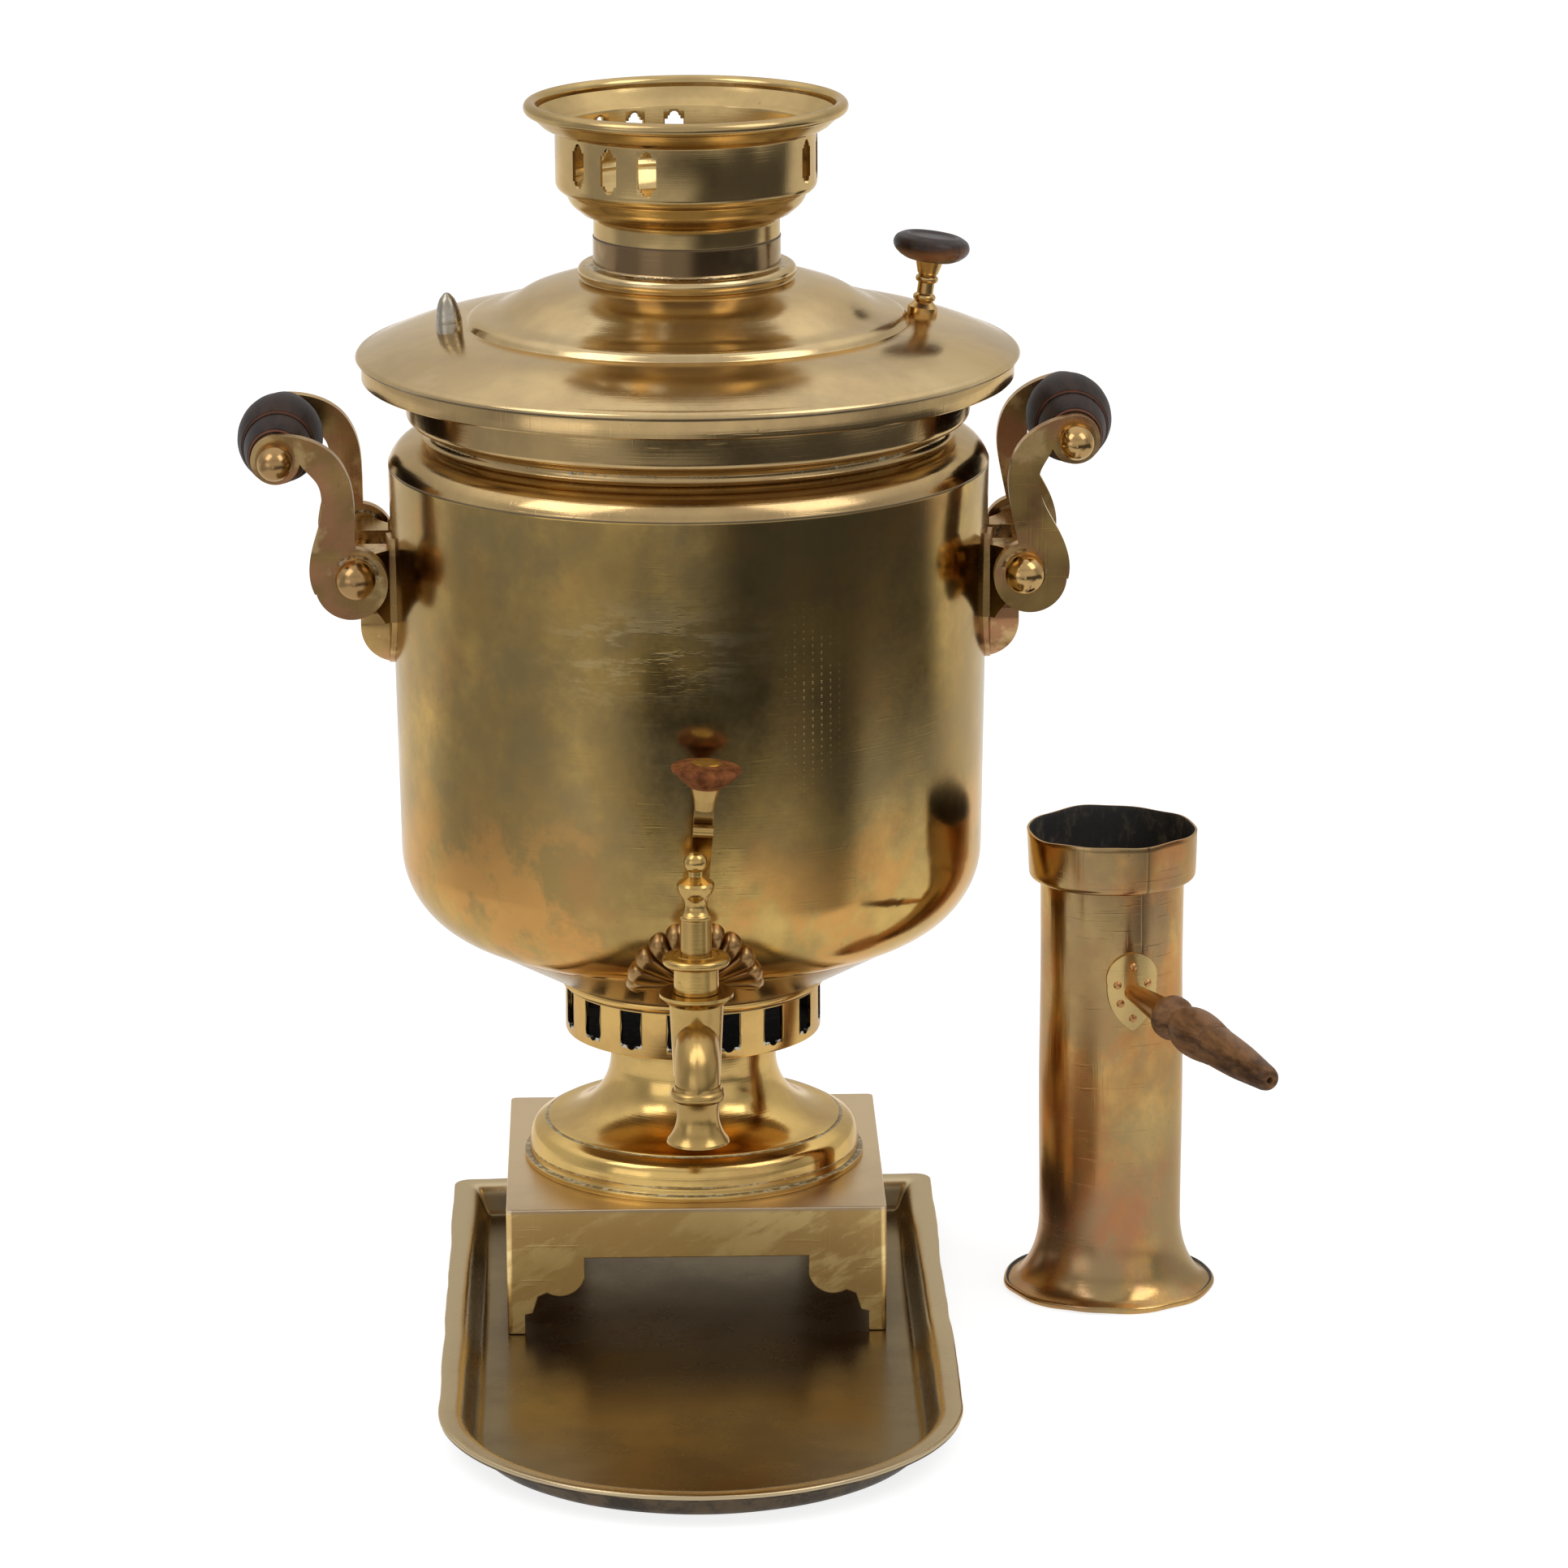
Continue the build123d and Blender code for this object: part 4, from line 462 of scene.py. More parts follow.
slots = bmesh.new()
for slot in range(vent_slots):
    ragged = [0.22 * sin(slot * 7.1 + corner * 2.3) for corner in range(6)]
    prism(slots, [(-4.75 + ragged[0], 13.9), (-4.65 + ragged[1], 7.0), (-4.75 + ragged[2], 1.0),
                  *arc((-3.6, 0.4), 1.1, 165, 300, 5), *arc((0, -0.5), 2.0 + ragged[3], 190, 350, 8),
                  *arc((3.6, 0.4), 1.1, 240, 375, 5), (4.75 + ragged[4], 1.0), (4.65 + ragged[5], 7.0),
                  (4.75 - ragged[0], 13.9)],
          first_slot + slot * vent_turn, vent_low + 5.6, (44, 60))
collar = pierced("vent-collar", spun([
    [(0, vent_low + 1.5), (51.8, vent_low + 1.5), (51.8, vent_top - 4.0), (48.3, vent_top - 4.0),
     (48.3, vent_top - 2.8), (51.2, vent_top - 2.8), *arc((vent_radius, vent_top - 2.2), 2.2, 190, -80, 20),
     (vent_radius, vent_top - 4.6), (vent_radius, vent_low + 1.0), (53.0, vent_low + 0.3), (52.4, vent_low),
     (0, vent_low)]], steps=256), slots, vent_brass, "samovar", "aged_brass", "vent_ring")

soot_iron, shader, place = new_material("sooty iron")
flakes = place.clouds(240, 5, 0.7)
connect(shader, Base_Color=flakes.above(0.56, 0.1).tint((0.012, 0.011, 0.010, 1), (0.05, 0.043, 0.036, 1)),
        Metallic=0.15, Roughness=flakes * 0.2 + 0.72, Normal=bumped(flakes, 0.5, 0.0008))
collar.data.materials.append(soot_iron)
for face in collar.data.polygons:
    inward = face.center.x * face.normal.x + face.center.y * face.normal.y
    if inward < -0.01 or (face.normal.z > 0.5 and face.center.z < (vent_low + 5) * mm):
        face.material_index = 1
recoated("fire_grate", soot_iron)
recoated("fire_tube", soot_iron)

# ---------------------------------------------------------------- body
# The water vessel, spun and soldered from brass sheet, with a cone and a full round below.
# Dull and mottled above, rubbed brighter on the round, where copper shows through in red patches.
wall_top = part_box("body_wall")[1].z / mm
wall_height, wall_flare = 161.1, 2.8
wall_low = wall_top - wall_height
round_radius, round_centre = 37.0, 83.4
wall_foot = round_centre + round_radius


def tool_marks(place, x, y, z, colour, relief):
    """Olive tarnish above, copper red below, a cone darkened to deep brown at the foot, a scoured band in front and
    rows of dots from a knurled tool.
    """
    upper = (z + place.clouds(14, 3, 0.6, shift=(9, 2, 1)) * 0.1).above(0.268, 0.025)
    olive = place.clouds(17, 5, 0.7, shift=(1, 6, 3)).above(0.5, 0.12)
    colour = (upper * olive * 0.62).tint(colour, (0.24, 0.18, 0.085, 1))
    copper = place.clouds(23, 5, 0.7, shift=(7, 7, 3)).above(0.515, 0.06) * (1 - upper)
    colour = (copper * 0.7).tint(colour, (0.58, 0.29, 0.08, 1))
    sheen = place.clouds(12, 2, 0.5, stretch=(1, 1, 0.6), shift=(3, 3, 1))
    # The whole cone below the round is tinted a deep brown.
    cone_darkening = (1 - z.above((vent_top + 20) * mm, 1.5 * mm)) * 0.9
    colour = cone_darkening.tint(colour, (0.15, 0.08, 0.033, 1))
    relief = relief + cone_darkening * place.clouds(1100, 2, 0.6) * 0.35
    scoured = place.clouds(46, 5, 0.75, stretch=(0.45, 1, 2.0), shift=(4, 1, 6)).above(0.53, 0.05)
    scoured = scoured * x.near(-0.012, 0.062) * z.near(0.298, 0.03) * (1 - y.above(0, 0.01))
    colour = (scoured * 0.45).tint(colour, (0.80, 0.64, 0.36, 1))
    rows = x.maths("SINE", x * 1750.0).above(0.9, 0.06)
    dots = z.maths("SINE", z * 2100.0).above(0.6, 0.25)
    band = x.near(0.048, 0.017) * z.near(0.281, 0.052) * (1 - y.above(0, 0.01))
    marks = rows * dots * band * place.clouds(60, 4, 0.6).above(0.44, 0.1)
    return (marks * 0.9).tint(colour, (0.78, 0.58, 0.30, 1)), relief + sheen * 0.6 - marks * 0.12 + scoured * 0.03


body_brass = old_brass("body brass", (0.64, 0.425, 0.13, 1), (0.32, 0.21, 0.07, 1), 0.1, dulling=0.53,
                       redness=0.4, turned=0.12, coat=0.18, spots=0.6, scratches=0.2,
                       dark_lines=[(vent_top + 20.9, 0.8), (vent_top + 0.4, 1.6)], detail=tool_marks)
finished("body-shell", spun([
    [(49.0, vent_top), (56.8, vent_top), (57.5, vent_top), (58.2, vent_top + 0.4), (94.8, vent_top + 20.5),
     (95.4, vent_top + 20.9), *arc((round_centre, wall_low), round_radius, -70, 0, 28),
     *[(wall_foot + wall_flare * step / 12, wall_low + wall_height * step / 12) for step in range(1, 12)],
     (123.15, wall_top - 2.5), (123.19, wall_top - 0.7), (123.2, wall_top)],
], steps=256, sheet=1.2, edge=0.3), body_brass, "samovar", "aged_brass", "body_wall")

# ---------------------------------------------------------------- shoulder, neck and rim
# A rounded step, a narrow cove and a straight neck under a flat rim, all drawn from one ring.
# A little grime has settled in the cove; a dark joint line parts it from the body, and a painted shadow line under the
# lid's overhanging edge parts it from the lid.
rim_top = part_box("neck_ring")[1].z / mm
rim_low = rim_top - 8.3
# The dark line at the rim's top is painted shadow under the lid's overhanging edge; the one at the wall's top is a
# joint.
neck_brass = old_brass("neck brass", (0.62, 0.43, 0.19, 1), (0.40, 0.275, 0.13, 1), 0.095, dulling=0.52,
                       turned=0.7, coat=0.08, scratches=0.6, grime=[(wall_top + 15.3, 1.2, 0.3)],
                       dark_lines=[(rim_top - 0.2, 1.0), (wall_top + 0.3, 0.7)])
finished("neck-ring", spun([[
    *lifted(wall_top, [
        (123.2, 0), (123.2, 0.8),
        *curve((123.15, 0.9), (121.6, 4.1), (119.0, 7.3), (115.2, 9.8), (111.2, 11.3), (108.9, 11.9)),
        *bow((108.7, 12.0), (107.4, 15.3), (110.5, 18.6), 10), *bow((110.7, 18.6), (114.2, 19.2), (115.4, 22.5), 8)]),
    (117.0, rim_low - 0.6), (117.6, rim_low), (132.8, rim_low), (133.4, rim_low + 0.6),
    (133.4, rim_top - 0.9), (133.0, rim_top - 0.2), (132.2, rim_top), (128.4, rim_top),
]], steps=256, sheet=1.2), neck_brass, "samovar", "aged_brass", "neck_ring")

# ---------------------------------------------------------------- lid
# A broad spun lid: sloping plate, raised dome, and a rolled collar round the flue's neck.
# Its top has greyed under years of steam and handling, in rings from the lathe.
neck_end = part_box("lid_cover")[1].z / mm


def darkened_neck_and_dried_rings(place, x, y, z, colour, relief):
    """Brown patches on the neck, a painted dark reflection of the lid's dome, and pale rings where water has dried on
    the plate.
    """
    # The brown patches on the neck stand in for the dark reflections it picks up from the lid: painted reflection.
    stain = z.above((neck_end - 11.0) * mm, 0.5 * mm) * place.clouds(30, 3, 0.6, shift=(2, 5, 5)).above(0.36, 0.12)
    dried = place.clouds(13, 5, 0.7, shift=(6, 1, 2)).above(0.55, 0.1) * (1 - z.above((neck_end - 12) * mm, mm))
    return (dried * 0.35).tint((stain * 0.85).tint(colour, (0.13, 0.075, 0.035, 1)), (0.66, 0.52, 0.30, 1)), relief


# The dark line at the lid's lower edge is painted shadow in the gap over the rim; the one at the neck's end is a joint.
lid_brass = old_brass("lid brass", (0.62, 0.455, 0.225, 1), (0.42, 0.30, 0.15, 1), 0.13, dulling=0.5, turned=0.8,
                      coat=0.35, spots=0.5, redness=0.15, grime=[(neck_end - 11.4, 0.5, 0.4)],
                      dark_lines=[(rim_top + 0.1, 1.1), (neck_end - 0.1, 0.7)], detail=darkened_neck_and_dried_rings)
finished("lid-spinning", spun([[
    *lifted(neck_end, [
        (38.3, 0), (38.3, -10.6), (38.9, -11.4), (40.7, -11.7), *arc((41.9, -14.2), 2.7, 80, -60, 8), (44.0, -17.2),
        *curve((46.0, -17.4), (51.4, -18.2), (58.6, -20.2), (65.6, -22.7), (72.1, -26.5), (78.7, -29.9), (86.0, -31.6)),
        (87.6, -32.0), (88.9, -32.8), (89.8, -33.8), (90.2, -34.9), (90.6, -35.4), (91.4, -35.65),
        *curve((93.0, -35.7), (98.4, -36.2), (105.6, -37.3), (112.6, -38.8), (119.5, -40.9), (126.3, -43.5),
               (132.9, -46.4)),
        (134.1, -46.7), (135.1, -47.4), (135.7, -48.2), (135.8, -48.7)]),
    (135.3, rim_top + 0.1), (134.4, rim_top),
]], steps=256, sheet=1.2), lid_brass, "lid", "aged_brass", "lid_cover")


# ---------------------------------------------------------------- lid knob and stud
# A turned wooden knob on a beaded brass stem, and a plain round-topped stud opposite it.
# The knob is nearly black, worn to a warm red-brown on its lower edge.
def wooden(name, dark, light, fibre, rings, gloss=0.34, shine=0.25, wear=None, worn=(0.2, 0.08, 0.03, 1),
           grooves=()):
    """Turned wood: fibres along one direction and faint tool lines across it."""
    made, shader, place = new_material(name)
    strands = place.clouds(230, 5, 0.65, stretch=fibre)
    broad = place.clouds(26, 3, 0.5, shift=(2, 8, 1))
    lines = place.clouds(800, 2, 0.5, stretch=rings)
    colour = (strands * 0.7 + broad * 0.5).above(0.6, 0.16).tint(dark, light)
    across = place.node("SeparateXYZ", {}, {"Vector": place}, output=1)
    for groove in grooves:
        rubbed = across.maths("ABSOLUTE", across).near(groove * mm, 0.55 * mm) * 0.8
        colour = rubbed.tint(colour, worn)
    if wear:
        height, width = wear
        parts = place.node("SeparateXYZ", {}, {"Vector": place}, output=2)
        rubbed = parts.near(height, width) * (broad * 0.7 + strands * 0.5).above(0.55, 0.12)
        colour = rubbed.tint(colour, worn)
    connect(shader, Base_Color=colour, Specular_IOR_Level=shine,
            Roughness=strands * 0.12 + broad * 0.1 + (gloss - 0.1),
            Normal=bumped(strands * 0.5 + lines * 0.35, 0.3, 0.0006))
    return made


def turned(outline, origin, axis, steps=96):
    """Spin an outline of radius and distance, in millimetres, about any axis."""
    work = spun([outline], steps=steps)
    lean = Vector((0, 0, 1)).rotation_difference(axis).to_matrix().to_4x4()
    bmesh.ops.transform(work, matrix=Matrix.Translation(origin) @ lean, verts=work.verts)
    return work


fitting_radius, fitting_level = 98, rim_top + 13.9
knob_turn, knob_lean, stud_lean = 9.5, 8, 4


def lid_fitting(turn, lean):
    """Foot and axis of a fitting that leans outward on the lid's plate."""
    outward = Vector((cos(radians(turn)), sin(radians(turn)), 0))
    return outward * (fitting_radius * mm) + Vector((0, 0, fitting_level * mm)), (
        outward * sin(radians(lean)) + Vector((0, 0, cos(radians(lean)))))


bright_brass = old_brass("fitting brass", (0.56, 0.37, 0.15, 1), (0.38, 0.24, 0.10, 1), 0.21, dulling=0.5,
                         spots=0.5, scratches=0.5)
knob_foot, knob_axis = lid_fitting(knob_turn, knob_lean)
finished("knob-stem", turned([
    (0, -2), (6.2, -2), (6.2, 1.6), (5.9, 2.0), *curve((4.6, 3.0), (3.6, 4.4)), *arc((3.2, 5.9), 1.5, -75, 75, 8),
    (3.4, 7.6), (3.3, 9.8), (3.4, 12.0), *arc((3.2, 13.6), 1.5, -75, 75, 8), (3.7, 15.3), (4.3, 16.2),
    (5.6, 21.0), (5.8, 21.5), (0, 21.5)], knob_foot, knob_axis), bright_brass, "lid", "cast_brass")
knob_wood = wooden("black lid knob wood", (0.012, 0.007, 0.006, 1), (0.036, 0.019, 0.013, 1), (1, 1, 0.08),
                   (0.03, 0.03, 1), wear=(knob_foot.z + 24 * mm, 5 * mm))
finished("lid-knob-turning", turned([
    (0, 21.5), (9.6, 21.5), (10.4, 21.8), *curve((12.4, 22.8), (14.8, 24.9), (15.8, 27.4), (14.9, 30.0), (12.6, 31.5),
    (11.2, 32.0)), (10.0, 31.8), (9.2, 31.2), (8.0, 31.0), (3.0, 31.2), (0, 31.1)], knob_foot, knob_axis),
    knob_wood, "lid", "dark_wood", "lid_knob")
tinned = old_brass("tinned stud", (0.42, 0.38, 0.31, 1), (0.24, 0.21, 0.16, 1), 0.24, dulling=0.5, spots=0.9,
                   edge=(1, 1, 1, 1))
stud_foot, stud_axis = lid_fitting(knob_turn + 180, stud_lean)
finished("stud", turned([
    (0, -2), (5.4, -2), (5.4, 3.2), (5.2, 3.6), *curve((5.1, 5.0), (4.6, 8.6), (3.2, 12.6), (1.3, 15.0)), (0, 15.5)],
    stud_foot, stud_axis), tinned, "lid", "steel_rod")
recoated("knob_stem", bright_brass)
recoated("stud_cap", tinned)
recoated("lid_nuts", tinned)

# ---------------------------------------------------------------- crown
# A pierced gallery with a flared rim, which carries a teapot over the flue.
# Its slots stand in three groups of three, and a faint broken band of crust runs round its sleeve.
crown_low = neck_end
crown_brass = old_brass("crown brass", (0.60, 0.43, 0.185, 1), (0.38, 0.265, 0.12, 1), 0.13, dulling=0.55, turned=0.7,
                        spots=0.6, grime=[(crown_low + 3.2, 2.4, 0.12)], dark_lines=[(crown_low + 0.1, 0.7)])
half_slot = [(3.9, -6.15), (3.9, 6.15), (2.6, 6.15), (2.6, 7.45), *arc((0, 7.45), 1.9, 0, 90, 8)]
slot_outline = [*half_slot, *[(-u, v) for u, v in reversed(half_slot[:-1])]]
slot_outline = [*slot_outline, (-2.6, -6.15), (-2.6, -7.45), *arc((0, -7.45), 1.9, 180, 360, 14), (2.6, -7.45),
                (2.6, -6.15)]
windows = bmesh.new()
first_group, slot_pitch = -126.5, 18.7
for group in range(3):
    for slot in (-1, 0, 1):
        prism(windows, slot_outline, first_group + group * 120 + slot * slot_pitch, crown_low + 33.0, (46, 58))
pierced("crown-gallery", spun([lifted(crown_low, [
    (38.0, 0), (38.0, 6.2), *curve((38.2, 7.4), (39.2, 8.6), (41.0, 9.2)), (42.6, 9.8),
    *curve((44.5, 11.4), (46.4, 13.0), (47.8, 14.8), (49.1, 17.6)), (49.5, 18.3), (50.0, 18.6),
    *curve((51.3, 19.1), (52.6, 20.4), (53.2, 22.0), (53.3, 23.4)), (53.3, 43.0), (53.5, 43.5), (54.2, 43.8),
    (56.7, 44.6), *curve((58.6, 45.7), (60.8, 47.8), (62.9, 50.1)), *arc((63.25, 52.75), 2.75, -75, 190, 18),
    *curve((60.6, 51.2), (58.8, 49.2), (56.0, 46.6), (53.4, 45.2)), (52.2, 44.4), (51.9, 43.6), (51.9, 23.6),
    *curve((51.7, 22.6), (50.8, 21.0), (49.2, 20.0)), (47.8, 18.2),
    *curve((46.6, 15.8), (45.0, 13.8), (43.0, 12.0), (40.0, 10.6)), (37.4, 9.4), (36.6, 7.4), (36.6, 0), (38.0, 0),
])], steps=256), windows, crown_brass, "crown", "aged_brass", "crown")

# ---------------------------------------------------------------- tap
# A cast tap: taper barrel, curved spout with a belled mouth, and a plug turned by a bent lever.
# The brass is a little reddened and spotted; the lever's knob is of red wood.
tap_axis = (0, -0.148)
tap_brass = old_brass("tap brass", (0.60, 0.40, 0.13, 1), (0.38, 0.245, 0.085, 1), 0.15, dulling=0.5,
                      centre=tap_axis, turned=0.5, spots=0.5, scratches=0.6, redness=0.15)
for node in ("tap_body", "tap_plug", "lever_ferrule"):
    recoated(node, tap_brass)
softened("tap_lever", tap_brass, "tap_key", "tap_brass", edge=0.35 * mm)
red_wood = wooden("red tap knob wood", (0.055, 0.017, 0.006, 1), (0.20, 0.068, 0.022, 1), (1, 1, 0.08),
                  (0.03, 0.03, 1), gloss=0.5, shine=0.05)
recoated("tap_knob", red_wood)
recoated("knob_inlay", tap_brass)

# ---------------------------------------------------------------- shell behind the tap
# A cast scallop that hides the joint of the tap and the body.
# Its lobes spread like a fan and follow the round of the body; the brass is spotted and reddened.
shell_brass = old_brass("shell brass", (0.51, 0.315, 0.115, 1), (0.30, 0.175, 0.068, 1), 0.22, dulling=0.6,
                        redness=0.4, spots=0.8)
lobes, fan_spread = 11, 204
shell_centre, shell_half, shell_rise, shell_drop = vent_top + 20.6, 25.0, 30.0, 24.0


def wall_radius(level):
    """Radius of the body at a level, in millimetres, on its round or its upright wall."""
    if level < wall_low:
        return round_centre + sqrt(round_radius**2 - min(wall_low - level, 36.9) ** 2)
    return wall_foot + (level - wall_low) / wall_height * wall_flare


work = bmesh.new()
rays, rings = lobes * 12, 22
bmesh.ops.create_grid(work, x_segments=rays, y_segments=rings, size=1)
work.verts.ensure_lookup_table()
for point in work.verts:
    fan, share = (point.co.x + 1) / 2, (point.co.y + 1) / 2
    lobe = fan * lobes
    ridge = 2 * (lobe - min(int(lobe), lobes - 1)) - 1
    bulge = sqrt(max(0.0, 1 - ridge * ridge))
    angle = radians(fan_spread * (fan - 0.5))
    reach = (0.12 + 0.88 * share) * (1 + 0.13 * bulge * share)
    u = shell_half * reach * sin(angle)
    level = shell_centre + (shell_rise if cos(angle) > 0 else shell_drop) * reach * cos(angle)
    swell = (1.4 + 5.6 * share**0.8) * (0.42 + 0.58 * bulge) * min(1.0, (1 - share) * 6) ** 0.5
    wall = wall_radius(level)
    out = sqrt(wall * wall - u * u)
    tilt = Vector((u, -out, 0 if level > wall_low else level - wall_low)).normalized()
    point.co = (Vector((u, -out, level)) + tilt * (swell - 0.2)) * mm
bmesh.ops.recalc_face_normals(work, faces=work.faces)
if sum(face.normal.y for face in work.faces) > 0:
    bmesh.ops.reverse_faces(work, faces=work.faces)
finished("scallop-shell", work, shell_brass, "samovar", "cast_brass", "tap_shell", sharp=70)

# ---------------------------------------------------------------- handles
# Two cast brackets with pinned S-scroll arms on each side, which swing on rods with ball ends.
# Turned black grips sit between the arms; pale and dark deposits ring the pivots.
pivot_out, pivot_level = 0.1354, 0.3144


def curl_lines(place, x, y, z, colour, relief):
    """Pale and dark deposits in a broken ring round each pivot, where the arm's curl meets the ball."""
    out, up = x.maths("ABSOLUTE", x) - pivot_out, z - pivot_level
    reach = out.maths("SQRT", out * out + up * up)
    broken = place.clouds(90, 3, 0.6, shift=(3, 3, 9)).above(0.47, 0.07)
    ring = reach.near(0.0086, 0.0011) * broken
    pale = place.clouds(300, 3, 0.7).above(0.5, 0.08).tint((0.06, 0.045, 0.028, 1), (0.46, 0.46, 0.36, 1))
    swell = place.clouds(38, 1, 0.3, shift=(4, 4, 4))
    reddened = place.clouds(44, 4, 0.6, shift=(8, 1, 1)).above(0.53, 0.07) * 0.6
    rubbed = place.clouds(52, 4, 0.6, shift=(2, 6, 3)).above(0.56, 0.06) * 0.6
    colour = rubbed.tint(reddened.tint(colour, (0.44, 0.20, 0.11, 1)), (0.70, 0.50, 0.23, 1))
    return (ring * 0.85).tint(colour, pale), relief + swell * 4.0 - ring * 0.1


handle_brass = old_brass("handle brass", (0.53, 0.345, 0.12, 1), (0.31, 0.19, 0.07, 1), 0.19, dulling=0.52,
                         spots=0.6, scratches=0.6, redness=0.45, detail=curl_lines)
black_wood = wooden("black grip wood", (0.008, 0.004, 0.003, 1), (0.034, 0.018, 0.012, 1), (1, 0.08, 1),
                    (0.03, 1, 0.03), gloss=0.45, shine=0.06, worn=(0.15, 0.055, 0.03, 1), grooves=(18.7, 21.3, 39.0))
ball_brass = old_brass("burnished ball brass", (0.50, 0.325, 0.13, 1), (0.34, 0.205, 0.085, 1), 0.13, dulling=0.5,
                       spots=0.5, scratches=0.5)
half_grip = [(0, 17.5), (6, 17.25), (11, 16.6), (15, 15.8), (18.2, 15.1), (18.8, 14.1), (19.3, 14.3), (20, 14.5),
             (20.6, 14.3), (21.0, 13.3), (21.6, 13.9), *curve((23.0, 13.8), (27.0, 13.4), (32.0, 12.7), (37.8, 11.6)),
             (38.8, 11.2), (39.5, 10.4), (39.7, 3.2)]
whole_grip = [(radius, -along) for along, radius in reversed(half_grip[1:])]
whole_grip += [(radius, along) for along, radius in half_grip]
for word in ("left", "right"):
    body = "handle_" + word
    softened("handle_bracket_" + word, handle_brass, "samovar", "cast_brass", edge=0.5 * mm)
    for place_on in ("front", "rear"):
        softened(f"arm_{place_on}_{word}", handle_brass, body, "cast_brass", edge=1.25 * mm, sharp=40, rounds=3)
    for node in ("pivot_rod_", "pivot_balls_", "grip_rod_", "rod_balls_"):
        recoated(node + word, ball_brass)
    low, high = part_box("grip_" + word)
    finished("grip-" + word, turned(whole_grip, (low + high) / 2, Vector((0, 1, 0))), black_wood,
             "grip_" + word, "dark_wood", "grip_" + word)

# ---------------------------------------------------------------- chimney pipe
# A soldered brass pipe with a flared foot and a wider hood, for drawing up the fire.
# Heat has brought red, brown and olive patches on it, and the inside is black with soot.
pipe_axis, pipe_radius = (0.1743, -0.0164), 30.0
leaf_turn, leaf_level, leaf_width, leaf_height = radians(-77.5), 136.0, 21.0, 33.0


def fire_marks(place, x, y, z, colour, relief):
    """A soldered lap seam up the front, and red-brown and olive scale from the heat."""
    angle = y.maths("ARCTAN2", y, x)
    seam = angle.near(radians(-69), 0.03) * z.above(0.153, 0.003)
    scale = place.clouds(24, 5, 0.65, stretch=(1, 1, 0.6), shift=(4, 2, 9)).above(0.55, 0.08) * 0.5
    olive = place.clouds(21, 6, 0.7, stretch=(1, 1, 0.7), shift=(9, 4, 2)).above(0.51, 0.07) * 0.55
    colour = olive.tint(scale.tint(colour, (0.32, 0.15, 0.09, 1)), (0.27, 0.22, 0.11, 1))
    waves = place.clouds(34, 2, 0.5, stretch=(1, 1, 0.4), shift=(1, 1, 8))
    return (seam * 0.7).tint(colour, (0.13, 0.08, 0.035, 1)), relief + waves * 0.5 - seam * 0.3


pipe_brass = old_brass("fired pipe brass", (0.60, 0.37, 0.12, 1), (0.33, 0.185, 0.07, 1), 0.16, dulling=0.52,
                       redness=0.9, centre=pipe_axis, turned=0.2, spots=0.8, scratches=0.9, detail=fire_marks)
copper_brass = old_brass("copper red brass", (0.54, 0.29, 0.11, 1), (0.32, 0.165, 0.07, 1), 0.24, dulling=0.55,
                         redness=0.7)
black_soot, shader, place = new_material("pipe soot")
flakes = place.clouds(130, 5, 0.7, stretch=(1, 1, 0.5))
connect(shader, Base_Color=flakes.above(0.6, 0.12).tint((0.014, 0.012, 0.010, 1), (0.085, 0.065, 0.042, 1)),
        Roughness=flakes * 0.3 + 0.5, Normal=bumped(flakes, 0.5, 0.001))


def dented(work, shift):
    """Move each point by what a rule gives for it."""
    for point in work.verts:
        point.co += shift(point.co)


def round_pipe(co):
    """How far round the pipe a point lies."""
    return atan2(co.y - pipe_axis[1], co.x - pipe_axis[0])


def sooted(piece):
    """Blacken the faces that look toward the pipe's axis."""
    piece.data.materials.append(black_soot)
    for face in piece.data.polygons:
        inward = (face.center.x - pipe_axis[0]) * face.normal.x + (face.center.y - pipe_axis[1]) * face.normal.y
        if inward < -0.0005:
            face.material_index = 1


hood_low, hood_high = (corner.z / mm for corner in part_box("pipe_hood"))


def ragged_hem(co):
    """The bitten lower edge of the pipe, and the slight unevenness of its tube."""
    turn, near = round_pipe(co), max(0.0, 1 - co.z / (9 * mm))
    bite = 0.5 + 0.3 * sin(3 * turn + 1) + 0.2 * sin(11 * turn)
    out = Vector((cos(turn), sin(turn), 0))
    return (Vector((0, 0, 0.0009 * bite * near * (0.5 + 0.5 * sin(7 * turn + 2))))
            - out * (0.0013 * near * bite) - out * (0.00022 * (1 + sin(2 * turn + co.z * 55)) * min(1, co.z / 0.03)))


tube = spun([[(pipe_radius, hood_low + 4), *[(pipe_radius, hood_low + 4 - step * 11) for step in range(1, 14)],
              *curve((30.0, 30.0), (30.4, 24.0), (31.8, 17.0), (34.6, 10.2), (38.6, 5.0), (42.6, 2.6)),
              *arc((43.2, 1.6), 1.6, 75, -180, 12)]], steps=160, sheet=1.0, centre=pipe_axis)
dented(tube, ragged_hem)
sooted(finished("pipe-tube", tube, pipe_brass, "chimney", "pipe_brass", "pipe_tube", sharp=50))


def wavy_edge(co):
    """The uneven upper edge of the hood."""
    turn, near = round_pipe(co), max(0.0, (co.z / mm - hood_low - 6) / (hood_high - hood_low - 6))
    lower = 0.5 + 0.22 * sin(2 * turn + 0.6) + 0.16 * sin(5 * turn + 2) + 0.12 * sin(9 * turn)
    return Vector((0, 0, -0.0019 * near * lower)) - Vector((cos(turn), sin(turn), 0)) * (
        0.0003 * near * (1 + sin(3 * turn + 1)))


hood = spun([[(30.1, hood_low + 4), (30.1, hood_low + 0.6), (30.8, hood_low), (32.2, hood_low),
              *arc((32.2, hood_low + 2.4), 2.4, -85, 0, 8), *[(34.6 + step / 8, hood_low + 2.4 + step * 2.3875)
                                                             for step in range(1, 9)]]],
            steps=160, sheet=1.0, edge=0.2, centre=pipe_axis)
dented(hood, wavy_edge)
sooted(finished("pipe-hood", hood, pipe_brass, "chimney", "pipe_brass", "pipe_hood", sharp=50))

